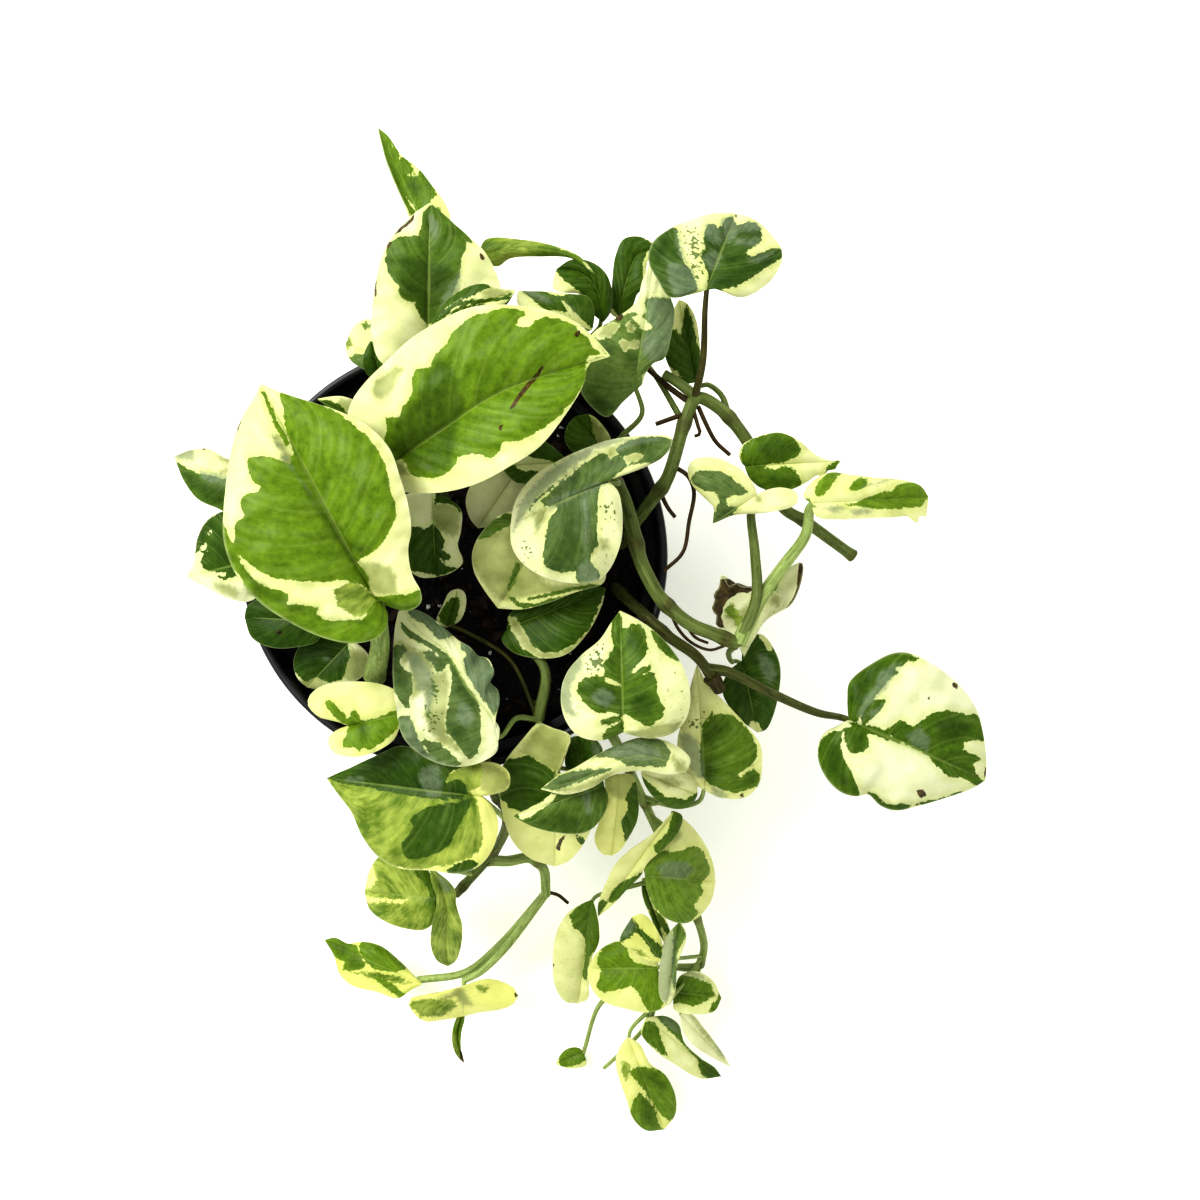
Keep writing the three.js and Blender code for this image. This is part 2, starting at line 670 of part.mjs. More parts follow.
function geometryOf(solid) {
  const mesh = solid.getMesh();
  const geometry = new THREE.BufferGeometry();
  geometry.setAttribute("position", new THREE.BufferAttribute(mesh.vertProperties, 3));
  geometry.setIndex(new THREE.BufferAttribute(mesh.triVerts, 1));
  return geometry;
}

function joined(solids) {
  return solids.reduce((whole, solid) => whole.add(solid));
}

// Pot and soil

function turned(profile, facets) {
  const points = profile.map(([radius, height]) => new THREE.Vector2(radius, height));
  const geometry = new THREE.LatheGeometry(points, facets);
  geometry.rotateX(Math.PI / 2);
  return geometry;
}

function wallRadiusAt(height) {
  const rise = height / (POT_HEIGHT - BAND_HEIGHT);
  return THREE.MathUtils.lerp(BASE_DIAMETER / 2, SHOULDER_DIAMETER / 2, rise);
}

function potSolid() {
  const bandBottom = POT_HEIGHT - BAND_HEIGHT;
  const rim = RIM_DIAMETER / 2;
  const band = BAND_DIAMETER / 2;
  const shoulder = SHOULDER_DIAMETER / 2;
  const base = BASE_DIAMETER / 2;
  const shell = solidOf(turned(
    [
      [0, 0],
      [base - BASE_CHAMFER, 0],
      [base, BASE_CHAMFER],
      [shoulder, bandBottom],
      [band - BAND_EDGE, bandBottom],
      [band, bandBottom + BAND_EDGE],
      [band, POT_HEIGHT - RIM_DEPTH],
      [rim, POT_HEIGHT - RIM_DEPTH],
      [rim, POT_HEIGHT - RIM_ROLL],
      [rim - RIM_ROLL, POT_HEIGHT],
      [rim - RIM_WIDTH, POT_HEIGHT],
      [band - WALL, POT_HEIGHT - RIM_DEPTH],
      [band - WALL, bandBottom + FLOOR],
      [shoulder - WALL, bandBottom],
      [base - WALL, FLOOR],
      [0, FLOOR],
    ],
    POT_FACETS,
  ));
  const holes = [];
  const holeRadius = DRAIN_HOLE_DIAMETER / 2;
  for (let hole = 0; hole < DRAIN_HOLES; hole++) {
    const angle = (hole / DRAIN_HOLES) * 2 * Math.PI;
    const drill = new THREE.CylinderGeometry(holeRadius, holeRadius, DRILL_LENGTH, DRILL_FACETS);
    drill.rotateX(Math.PI / 2);
    const [across, deep] = [Math.cos(angle), Math.sin(angle)].map((share) => share * DRAIN_CIRCLE_RADIUS);
    drill.translate(across, deep, FLOOR / 2);
    holes.push(solidOf(drill));
  }
  return shell.subtract(joined(holes));
}

function soilLump(x, y) {
  const { across, deep, slantAcross, slantDeep } = SOIL_LUMP_LENGTHS;
  const turn = 2 * Math.PI;
  const heaps = Math.sin((turn * x) / across) * Math.cos((turn * y) / deep);
  const slant = Math.sin(turn * (x / slantAcross - y / slantDeep));
  return SOIL_LUMP * (heaps + slant / 2);
}

function soilSolid() {
  const bottom = FLOOR + CLEARANCE;
  const shoulder = POT_HEIGHT - BAND_HEIGHT - BAND_EDGE;
  const bottomRadius = wallRadiusAt(bottom) - WALL - 2 * CLEARANCE;
  const topRadius = wallRadiusAt(shoulder) - WALL - 2 * CLEARANCE;
  const profile = [[0, bottom], [bottomRadius, bottom], [topRadius, shoulder]];
  for (let ring = 0; ring <= SOIL_RINGS; ring++) {
    profile.push([(topRadius - BAND_EDGE) * (1 - ring / SOIL_RINGS), SOIL_TOP]);
  }
  const heap = turned(profile, SOIL_FACETS);
  const place = heap.attributes.position;
  for (let corner = 0; corner < place.count; corner++) {
    if (place.getZ(corner) > shoulder + CLEARANCE) {
      place.setZ(corner, SOIL_TOP + soilLump(place.getX(corner), place.getY(corner)));
    }
  }
  const holes = VINES.map((vine) => pegSolid(vine, PEG_CLEARANCE, 2 * PEG_RISE));
  return solidOf(heap).subtract(joined(holes));
}

// Stems: each has a straight peg in the soil, and a hole of the same shape takes it.

function pegSolid(vine, extra, rise) {
  const foot = seenAt([...vine.planted, SOIL_TOP]);
  const height = ROOT_DEPTH + rise + extra;
  const radius = vine.radius + extra;
  const peg = new THREE.CylinderGeometry(radius, radius, height, PEG_SIDES);
  peg.rotateX(Math.PI / 2);
  peg.translate(foot.x, foot.y, SOIL_TOP + rise - height / 2);
  return solidOf(peg);
}

function tubeSolid(curve, startRadius, endRadius, sides, step) {
  const steps = Math.max(2, Math.round(curve.getLength() / step));
  const section = new THREE.Shape(
    Array.from({ length: sides }, (_, side) => {
      const angle = (side / sides) * 2 * Math.PI;
      return new THREE.Vector2(startRadius * Math.cos(angle), startRadius * Math.sin(angle));
    }),
  );
  const geometry = new THREE.ExtrudeGeometry(section, { steps, extrudePath: curve, bevelEnabled: false });
  const stations = curve.getSpacedPoints(steps);
  const place = geometry.attributes.position;
  const corner = new THREE.Vector3();
  for (let index = 0; index < place.count; index++) {
    corner.fromBufferAttribute(place, index);
    const away = stations.map((station) => station.distanceTo(corner));
    const nearest = away.indexOf(Math.min(...away));
    const scale = THREE.MathUtils.lerp(1, endRadius / startRadius, nearest / steps);
    corner.sub(stations[nearest]).multiplyScalar(scale).add(stations[nearest]);
    place.setXYZ(index, corner.x, corner.y, corner.z);
  }
  return solidOf(geometry);
}

function stemCurve(vine) {
  const foot = seenAt([...vine.planted, SOIL_TOP]);
  foot.z = SOIL_TOP + PEG_RISE - 1;
  return new THREE.CatmullRomCurve3([foot, ...vine.stem.map(seenAt)], false, "centripetal");
}

function stalkCurve(leaf, vine, stem) {
  const base = seenAt(leaf.base);
  const tip = seenAt(leaf.tip);
  const way = leaf.via.map(seenAt);
  const twig = vine.twigs?.[leaf.twig];
  const start = twig ? seenAt(twig.points.at(-1)) : stem.getPointAt(leaf.at);
  const last = way.at(-1) ?? start.clone().lerp(base, 0.5);
  const under = last.clone().sub(base).setZ(0).setLength(STALK_REACH).add(base);
  under.z += leaf.over ? STALK_BEND : -STALK_BEND;
  const inside = tip.clone().sub(base).setLength(STALK_REACH).add(base);
  const end = leaf.small ? inside : base.clone().lerp(under, leaf.gap / STALK_BEND);
  const points = [start, ...way];
  if (last.distanceTo(under) > SHORTEST_BEND) {
    points.push(under);
  }
  points.push(end);
  return new THREE.CatmullRomCurve3(points, false, "centripetal");
}

// Leaf blades

function pathThrough(places) {
  const points = places.map(([across, down]) => new THREE.Vector3(across, down, 0));
  return new THREE.CatmullRomCurve3(points, false, "centripetal");
}

// The midrib and both edges, as lines in the view.
function bladeLines(leaf) {
  return {
    midrib: pathThrough([leaf.base, ...leaf.midrib, leaf.tip]),
    left: pathThrough([leaf.base, ...leaf.left, leaf.tip]),
    right: pathThrough([leaf.base, ...leaf.right, leaf.tip]),
  };
}

// t runs from the notch to the point, and v from the right edge at -1 over the midrib to the left edge.
function bladePoint(leaf, lines, t, v) {
  const out = Math.abs(v);
  const half = v > 0 ? 0 : 1;
  const along = t ** MIDRIB_CROWDING;
  const rib = lines.midrib.getPointAt(along);
  const edge = (v > 0 ? lines.left : lines.right).getPointAt(t);
  const seen = rib.clone().lerp(edge, out);
  const width = Math.min(1, rib.distanceTo(edge) / leaf.widest[half]);
  const [wave, waves, start] = leaf.wave;
  const turns = waves * t + start + half * RIGHT_WAVE_DELAY;
  const ripple = wave * out * out * Math.sin(Math.PI * t) * Math.sin(2 * Math.PI * turns);
  const height =
    THREE.MathUtils.lerp(leaf.base[2], leaf.tip[2], along) +
    leaf.arch * 4 * along * (1 - along) +
    width * (leaf.lift[half] * out + leaf.bulge[half] * 4 * out * (1 - out)) +
    ripple;
  return seenAt([seen.x, seen.y, height]);
}

function bladeGrid(leaf) {
  if (leaf.small) {
    return SMALL_BLADE;
  }
  return seenAt(leaf.base).distanceTo(seenAt(leaf.tip)) > LARGE_BLADE.over ? LARGE_BLADE : MIDDLE_BLADE;
}

function bladeGeometry(leaf) {
  const lines = bladeLines(leaf);
  const { rows, columns } = bladeGrid(leaf);
  const wide = 2 * columns + 1;
  const middle = [bladePoint(leaf, lines, 0, 0)];
  for (let row = 1; row < rows; row++) {
    for (let column = -columns; column <= columns; column++) {
      middle.push(bladePoint(leaf, lines, row / rows, column / columns));
    }
  }
  middle.push(bladePoint(leaf, lines, 1, 0));
  const tip = middle.length - 1;
  const at = (row, column) => 1 + (row - 1) * wide + column;

  const faces = [];
  for (let column = 0; column < wide - 1; column++) {
    faces.push([0, at(1, column), at(1, column + 1)]);
    faces.push([tip, at(rows - 1, column + 1), at(rows - 1, column)]);
  }
  for (let row = 1; row < rows - 1; row++) {
    for (let column = 0; column < wide - 1; column++) {
      const [a, b] = [at(row, column), at(row + 1, column)];
      const [d, c] = [at(row, column + 1), at(row + 1, column + 1)];
      if (column < columns) {
        faces.push([a, b, c], [a, c, d]);
      } else {
        faces.push([a, b, d], [b, c, d]);
      }
    }
  }
  const ring = [0];
  for (let row = 1; row < rows; row++) {
    ring.push(at(row, 0));
  }
  ring.push(tip);
  for (let row = rows - 1; row > 0; row--) {
    ring.push(at(row, wide - 1));
  }

  const sheet = new THREE.BufferGeometry().setFromPoints(middle);
  sheet.setIndex(faces.flat());
  sheet.computeVertexNormals();
  const normal = new THREE.Vector3();
  const offset = (sign) => middle.map((point, index) => {
    normal.fromBufferAttribute(sheet.attributes.normal, index);
    return point.clone().addScaledVector(normal, (sign * BLADE_THICKNESS) / 2);
  });
  const under = middle.length;
  const triangles = [...faces, ...faces.map(([a, b, c]) => [a + under, c + under, b + under])];
  ring.forEach((here, index) => {
    const next = ring[(index + 1) % ring.length];
    triangles.push([here + under, next + under, next], [here + under, next, here]);
  });
  const blade = new THREE.BufferGeometry().setFromPoints([...offset(1), ...offset(-1)]);
  blade.setIndex(triangles.flat());
  return blade;
}

function vineSolid(vine, leaves) {
  const stem = stemCurve(vine);
  const pieces = [
    pegSolid(vine, 0, PEG_RISE),
    tubeSolid(stem, vine.radius, vine.radius * STEM_TAPER, STEM_SIDES, STEM_STEP),
  ];
  for (const twig of vine.twigs ?? []) {
    const curve = new THREE.CatmullRomCurve3(twig.points.map(seenAt), false, "centripetal");
    pieces.push(tubeSolid(curve, twig.radius, twig.radius * TWIG_TAPER, STALK_SIDES, TWIG_STEP));
  }
  for (const leaf of leaves) {
    const radius = leaf.small ? SMALL_STALK_RADIUS : leaf.stalk;
    const curve = stalkCurve(leaf, vine, stem);
    pieces.push(tubeSolid(curve, radius, STALK_END_RADIUS, STALK_SIDES, STALK_STEP));
    if (leaf.small) {
      pieces.push(solidOf(bladeGeometry(leaf)));
    }
  }
  return joined(pieces).simplify(JOIN_TOLERANCE);
}

// A leaf with what its row leaves out, and the width of its halves where they are widest.
function completed(row) {
  const leaf = { ...PLAIN_LEAF, ...row };
  const lines = bladeLines(leaf);
  leaf.widest = [lines.left, lines.right].map((edge) => {
    const widths = Array.from({ length: WIDTH_SAMPLES - 1 }, (_, step) => {
      const t = (step + 1) / WIDTH_SAMPLES;
      return lines.midrib.getPointAt(t ** MIDRIB_CROWDING).distanceTo(edge.getPointAt(t));
    });
    return Math.max(...widths);
  });
  return leaf;
}

const plant = new THREE.Group();

function addPiece(name, geometry, material) {
  const mesh = new THREE.Mesh(geometry, material);
  mesh.name = name;
  plant.add(mesh);
}

addPiece("pot", geometryOf(potSolid()), MATERIALS.pot);
addPiece("soil", geometryOf(soilSolid()), MATERIALS.soil);
for (const vine of VINES) {
  const leaves = vine.leaves.map(completed);
  addPiece(`${vine.name}_vine`, geometryOf(vineSolid(vine, leaves)), MATERIALS.vine);
  leaves.filter((leaf) => !leaf.small).forEach((leaf, index) => {
    addPiece(`${vine.name}_leaf_${index + 1}`, bladeGeometry(leaf), MATERIALS.leaf);
  });
}

export default plant;
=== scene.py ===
# %% [markdown]
# # A potted pothos, seen from above
# This lesson dresses a plain model of a house plant: a black nursery pot, dark potting mix, ten green
# vines and some sixty small leaves with cream and green patches. The plain model fixes where every
# piece is and how large it is. Here each of its solids is replaced by a finer piece of the same form,
# and given the surface that the real one has.

# %% Load the fixed frame
import math

import bpy
import numpy as np
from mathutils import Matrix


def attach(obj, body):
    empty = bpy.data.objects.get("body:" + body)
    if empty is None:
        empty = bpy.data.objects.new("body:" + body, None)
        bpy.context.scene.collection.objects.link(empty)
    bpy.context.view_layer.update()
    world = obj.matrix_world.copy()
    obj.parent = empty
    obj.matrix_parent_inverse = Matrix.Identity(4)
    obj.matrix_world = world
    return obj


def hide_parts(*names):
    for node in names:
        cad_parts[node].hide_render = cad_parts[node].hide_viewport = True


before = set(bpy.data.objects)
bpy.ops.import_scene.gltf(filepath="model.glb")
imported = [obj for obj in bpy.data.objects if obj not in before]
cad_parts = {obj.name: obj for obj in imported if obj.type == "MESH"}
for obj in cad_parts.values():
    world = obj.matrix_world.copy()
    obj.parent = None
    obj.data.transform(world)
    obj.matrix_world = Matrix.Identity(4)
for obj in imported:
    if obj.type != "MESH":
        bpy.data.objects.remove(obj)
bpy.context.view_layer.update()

# %% [markdown]
# Blender measures in metres, and a plant is easier to think of in millimetres. So every size below is
# in millimetres, and is turned to metres at the one place where a mesh is written.

# %% Units and a clean selection
MM = 0.001


def deselect_all():
    if bpy.context.object and bpy.context.object.mode != "OBJECT":
        bpy.ops.object.mode_set(mode="OBJECT")
    bpy.ops.object.select_all(action="DESELECT")


def only(piece):
    """Selects one piece and makes it the active one."""
    deselect_all()
    piece.select_set(True)
    bpy.context.view_layer.objects.active = piece


def named(name):
    """The object that an operator has just added, under a name of its own."""
    piece = bpy.context.object
    piece.name = name
    piece.data.name = name
    return piece


def apply_modifiers(piece):
    only(piece)
    for modifier in list(piece.modifiers):
        bpy.ops.object.modifier_apply(modifier=modifier.name)


def stand_for(piece, node):
    """Puts a finished piece in the place of a plain node: hangs it under the root and hides the node."""
    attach(piece, "root")
    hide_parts(node)


deselect_all()

# %% [markdown]
# The photo looks straight down, so places are given as they are seen from above: across and down in a
# square view 1200 wide, and the height over the table in millimetres. The eye is 562 mm up. A thing
# that stands higher is nearer to the eye and looks larger, and `seen_at` undoes that.

# %% Places seen from above
EYE = np.array([51.9, -15.5, 562.0])
VIEW_WIDTH = 1200
VIEW_FOCUS = 1258


def seen_at(places):
    places = np.asarray(places, float)
    scale = (EYE[2] - places[..., 2]) / VIEW_FOCUS
    across = EYE[0] + (places[..., 0] - VIEW_WIDTH / 2) * scale
    deep = EYE[1] - (places[..., 1] - VIEW_WIDTH / 2) * scale
    return np.stack([across, deep, places[..., 2]], axis=-1)


# %% [markdown]
# The camera stands where the eye is, and a lens of about 38 mm on a 36 mm sensor gives the same view.

# %% Camera
SENSOR_WIDTH = 36
NEAREST_SEEN = 10

deselect_all()
bpy.ops.object.camera_add(location=EYE * MM, rotation=(0, 0, 0))
camera = named("camera")
camera.data.sensor_width = SENSOR_WIDTH
camera.data.lens = SENSOR_WIDTH * VIEW_FOCUS / VIEW_WIDTH
camera.data.clip_start = NEAREST_SEEN * MM
bpy.context.scene.camera = camera
print("lens:", round(camera.data.lens, 2), "mm")

# %% [markdown]
# A material is a small network of nodes. One helper adds a node: its own settings, and then the values
# or other nodes' outputs that go into its sockets. Colours are written as they look on a screen, and a
# second helper turns them to the linear values that light is reckoned in.

# %% Helpers for materials


def linear(hex_colour):
    """A screen colour such as "#f2f0cf" as linear red, green, blue and alpha, by the sRGB curve."""
    parts = [int(hex_colour[place : place + 2], 16) / 255 for place in (1, 3, 5)]
    lit = [part / 12.92 if part <= 0.04045 else ((part + 0.055) / 1.055) ** 2.4 for part in parts]
    return [*lit, 1]


def add_node(tree, kind, sockets=None, **settings):
    """Adds a node with its settings, and feeds its sockets, by name or number, with values or outputs."""
    added = tree.nodes.new("ShaderNode" + kind)
    for name, value in settings.items():
        setattr(added, name, value)
    for socket, value in (sockets or {}).items():
        if isinstance(value, bpy.types.NodeSocket):
            tree.links.new(value, added.inputs[socket])
        else:
            added.inputs[socket].default_value = value
    return added


def new_material(name):
    """An empty material with its Principled shader, which is returned with its tree."""
    material = bpy.data.materials.new(name)
    material.use_nodes = True
    tree = material.node_tree
    return material, tree, tree.nodes["Principled BSDF"]


def spots(size):
    """The scale that gives a noise texture spots of about this size in mm."""
    return 1 / (size * MM)


# %% [markdown]
# The plant stands on a plain white light table, in soft light from all round. A light table glows a
# little by itself, so the shadows on it are faint. A large soft lamp, high and to the left, gives the
# leaves their lit and shaded sides.

# %% Table and light
TABLE_WIDTH = 6000
TABLE_BELOW_POT = 0.4
TABLE_GLOW = 0.16
ROOM_LIGHT = 0.72
LAMP_PLACE = (-750, 550, 1350)
LAMP_WIDTH = 900
LAMP_WATTS = 18

table_paint, tree, shader = new_material("opal white acrylic, lit from below")
shader.inputs["Base Color"].default_value = linear("#fbfbf1")
shader.inputs["Roughness"].default_value = 0.8
shader.inputs["Emission Color"].default_value = linear("#fbfbf1")
shader.inputs["Emission Strength"].default_value = TABLE_GLOW

deselect_all()
bpy.ops.mesh.primitive_plane_add(size=TABLE_WIDTH * MM, location=(0, 0, -TABLE_BELOW_POT * MM))
table = named("table")
bpy.ops.object.transform_apply(location=True)
table.data.materials.append(table_paint)

deselect_all()
bpy.ops.object.light_add(type="AREA", location=[way * MM for way in LAMP_PLACE])
lamp = named("soft lamp")
lamp.data.shape = "DISK"
lamp.data.size = LAMP_WIDTH * MM
lamp.data.energy = LAMP_WATTS
aim = lamp.location.copy()
lamp.rotation_euler = aim.to_track_quat("Z", "Y").to_euler()

world = bpy.data.worlds.new("white room")
bpy.context.scene.world = world
world.use_nodes = True
world.node_tree.nodes["Background"].inputs["Color"].default_value = linear("#fcfdff")
world.node_tree.nodes["Background"].inputs["Strength"].default_value = ROOM_LIGHT
bpy.context.scene.view_settings.view_transform = "Standard"
bpy.context.scene.view_settings.look = "High Contrast"
print("table and lamp stand; the lamp gives", lamp.data.energy, "W")

# %% [markdown]
# The pot is a thin moulded nursery pot with a rolled rim and a band below it. Such a shape is round, so
# it starts as a circle, and each next ring of its profile is extruded from the last and scaled. Only
# its rim and the top of its inner wall can be seen from above, but the outside shows from the side.

# %% Pot
POT_HEIGHT = 115
RIM_RADIUS = 76
BAND_RADIUS = 74.5
BAND_BOTTOM = 99
SHOULDER_RADIUS = 70.5
BASE_RADIUS = 54
WALL = 1.6
FLOOR = 2
POT_SIDES = 144
DRAIN_HOLES = 8
DRAIN_HOLE_RADIUS = 5
DRAIN_CIRCLE_RADIUS = 38
DRILL_SIDES = 32
POT_SHARP_ANGLE = 35
MERGED_WITHIN = 0.01
NEARLY_NOTHING = 0.004


def ringed(name, sides, profile):
    """A round shell: a circle at the first radius and height, extruded and scaled along the rest."""
    deselect_all()
    (radius, height), *rest = profile
    bpy.ops.mesh.primitive_circle_add(vertices=sides, radius=radius * MM, location=(0, 0, 0))
    piece = named(name)
    bpy.ops.object.mode_set(mode="EDIT")
    bpy.ops.transform.translate(value=(0, 0, height * MM))
    for next_radius, next_height in rest:
        rise = (next_height - height) * MM
        bpy.ops.mesh.extrude_region_move(TRANSFORM_OT_translate={"value": (0, 0, rise)})
        widen = next_radius / radius
        bpy.ops.transform.resize(value=(widen, widen, 1), center_override=(0, 0, next_height * MM))
        radius, height = next_radius, next_height
    bpy.ops.object.mode_set(mode="OBJECT")
    return piece


def close_and_face_out(piece):
    """Merges points that lie together and turns all faces outwards."""
    only(piece)
    bpy.ops.object.mode_set(mode="EDIT")
    bpy.ops.mesh.select_all(action="SELECT")
    bpy.ops.mesh.remove_doubles(threshold=MERGED_WITHIN * MM)
    bpy.ops.mesh.normals_make_consistent(inside=False)
    bpy.ops.object.mode_set(mode="OBJECT")


pot_profile = [
    (NEARLY_NOTHING, 0), (BASE_RADIUS - 2, 0), (BASE_RADIUS - 1.4, 0.1), (BASE_RADIUS - 0.4, 0.7),
    (BASE_RADIUS, 1.6), (BASE_RADIUS + 0.2, 3), (SHOULDER_RADIUS, BAND_BOTTOM - 0.5),
    (SHOULDER_RADIUS + 0.3, BAND_BOTTOM), (BAND_RADIUS - 0.8, BAND_BOTTOM),
    (BAND_RADIUS - 0.2, BAND_BOTTOM + 0.3), (BAND_RADIUS, BAND_BOTTOM + 1),
    (BAND_RADIUS, POT_HEIGHT - 3.2), (BAND_RADIUS + 0.3, POT_HEIGHT - 2.9),
    (RIM_RADIUS - 0.4, POT_HEIGHT - 2.8), (RIM_RADIUS, POT_HEIGHT - 2.3), (RIM_RADIUS, POT_HEIGHT - 1),
    (RIM_RADIUS - 0.4, POT_HEIGHT - 0.3), (RIM_RADIUS - 1.1, POT_HEIGHT),
    (RIM_RADIUS - 2, POT_HEIGHT - 0.1), (RIM_RADIUS - 2.7, POT_HEIGHT - 0.6),
    (BAND_RADIUS - WALL, POT_HEIGHT - 2.4), (BAND_RADIUS - WALL, BAND_BOTTOM + 2.5),
    (BAND_RADIUS - WALL - 0.8, BAND_BOTTOM + 1.2), (SHOULDER_RADIUS - WALL, BAND_BOTTOM),
    (BASE_RADIUS - WALL + 0.3, FLOOR + 1), (BASE_RADIUS - WALL - 1, FLOOR), (NEARLY_NOTHING, FLOOR),
]
pot = ringed("nursery_pot", POT_SIDES, pot_profile)
close_and_face_out(pot)

deselect_all()
drills = []
for hole in range(DRAIN_HOLES):
    angle = hole / DRAIN_HOLES * math.tau
    reach = DRAIN_CIRCLE_RADIUS * MM
    place = (reach * math.cos(angle), reach * math.sin(angle), FLOOR * MM / 2)
    size = {"radius": DRAIN_HOLE_RADIUS * MM, "depth": 4 * FLOOR * MM}
    bpy.ops.mesh.primitive_cylinder_add(vertices=DRILL_SIDES, location=place, **size)
    drills.append(bpy.context.object)
for drill in drills:
    drill.select_set(True)
bpy.ops.object.join()
drill = named("drill")
bpy.ops.object.transform_apply(location=True)
cut = pot.modifiers.new("drain holes", "BOOLEAN")
cut.operation = "DIFFERENCE"
cut.object = drill
apply_modifiers(pot)
bpy.data.objects.remove(drill)

only(pot)
bpy.ops.object.shade_smooth_by_angle(angle=math.radians(POT_SHARP_ANGLE))
stand_for(pot, "pot")
print("pot:", len(pot.data.polygons), "faces")

# %% [markdown]
# The real pot is polypropylene, moulded black with a fine grain. It gives the eye a deep black with a
# broad soft sheen on the rim and dust-grey scuffs. Grain of 0.15 mm would not show, so it is drawn
# at 0.5 mm.

# %% Finish: moulded black polypropylene
POT_GRAIN = 0.5
SCUFF_SIZE = 9

black_plastic, tree, shader = new_material("moulded black polypropylene")
place = add_node(tree, "TexCoord").outputs["Object"]
sockets = {"Vector": place, "Scale": spots(SCUFF_SIZE), "Detail": 6.0}
scuffs = add_node(tree, "TexNoise", sockets).outputs["Fac"]
sockets = {"Value": scuffs, "From Min": 0.5, "From Max": 0.75}
worn = add_node(tree, "MapRange", sockets).outputs["Result"]
pair = {0: worn, 6: linear("#0e0f11"), 7: linear("#242526")}
colour = add_node(tree, "Mix", pair, data_type="RGBA").outputs["Result"]
rough = add_node(tree, "MapRange", {"Value": scuffs, "To Min": 0.32, "To Max": 0.6})
sockets = {"Vector": place, "Scale": spots(POT_GRAIN), "Detail": 2.0}
grain = add_node(tree, "TexNoise", sockets).outputs["Fac"]
bump = add_node(tree, "Bump", {"Height": grain, "Strength": 0.25, "Distance": 0.05 * MM})
tree.links.new(colour, shader.inputs["Base Color"])
tree.links.new(rough.outputs["Result"], shader.inputs["Roughness"])
tree.links.new(bump.outputs["Normal"], shader.inputs["Normal"])
pot.data.materials.append(black_plastic)

# %% [markdown]
# Potting mix is peat crumbs, bark chips and white perlite. Its surface is a lumpy disc, and on it lie
# loose crumbs, each a small lump. One lump of each kind is modelled, and then copied many times with a
# turn, a size and a place drawn by chance, always from the same seed.

# %% Soil
SOIL_TOP = 100
SOIL_RADIUS = 67.4
SOIL_BOTTOM_RADIUS = 52.2
SOIL_RINGS = 34
SOIL_SIDES = 120
SOIL_OVER_FLOOR = 0.3
SOIL_SHOULDER = 2
SOIL_ROUNDING = 0.6
LUMP_HEIGHT = 0.7
LUMP_LENGTHS = (30, 37)
SWELL_HEIGHT = 0.35
SWELL_LENGTHS = (70, 48)
CRUMB_HEIGHT = 0.35
CRUMB_TURNS = (1.1, 1.3)
CRUMB_SHIFTS = (0.7, 0.9)
CRUMB_SHIFT = 2


def lumps(x, y):
    """The unevenness of the soil in mm at places in mm."""
    lump_x, lump_y = LUMP_LENGTHS
    swell_x, swell_y = SWELL_LENGTHS
    turn_x, turn_y = CRUMB_TURNS
    shift_x, shift_y = CRUMB_SHIFTS
    broad = LUMP_HEIGHT * np.sin(math.tau * x / lump_x) * np.cos(math.tau * y / lump_y)
    swell = SWELL_HEIGHT * np.sin(math.tau * (x / swell_x - y / swell_y))
    one_way = np.sin(x * turn_x + CRUMB_SHIFT * np.sin(y * shift_x))
    other_way = np.sin(y * turn_y + CRUMB_SHIFT * np.sin(x * shift_y))
    return broad + swell + CRUMB_HEIGHT * (one_way * other_way)


low = FLOOR + SOIL_OVER_FLOOR
soil_profile = [(NEARLY_NOTHING, low), (SOIL_BOTTOM_RADIUS, low), (SOIL_RADIUS, SOIL_TOP - SOIL_SHOULDER)]
for ring in range(SOIL_RINGS + 1):
    share = 1 - ring / SOIL_RINGS
    soil_profile.append((max(NEARLY_NOTHING, (SOIL_RADIUS - SOIL_ROUNDING) * share), SOIL_TOP))
soil = ringed("potting_mix", SOIL_SIDES, soil_profile)
close_and_face_out(soil)
for vertex in soil.data.vertices:
    if vertex.co.z > (SOIL_TOP - 1) * MM:
        vertex.co.z += lumps(vertex.co.x / MM, vertex.co.y / MM) * MM
only(soil)
bpy.ops.object.shade_smooth()

# %% Loose crumbs, chips and perlite
LUMP_RAGGEDNESS = 0.45
LUMP_LENGTHENING = 1.3
LUMP_RISE = 0.15
SOIL_EDGE = 2
LOOSE_PIECES = {
    "peat_crumbs": dict(count=2600, sizes=(0.8, 3.2), flatness=0.7, seed=11),
    "bark_chips": dict(count=420, sizes=(2.0, 6.5), flatness=0.35, seed=12),
    "perlite": dict(count=130, sizes=(0.7, 2.2), flatness=0.9, seed=13),
}


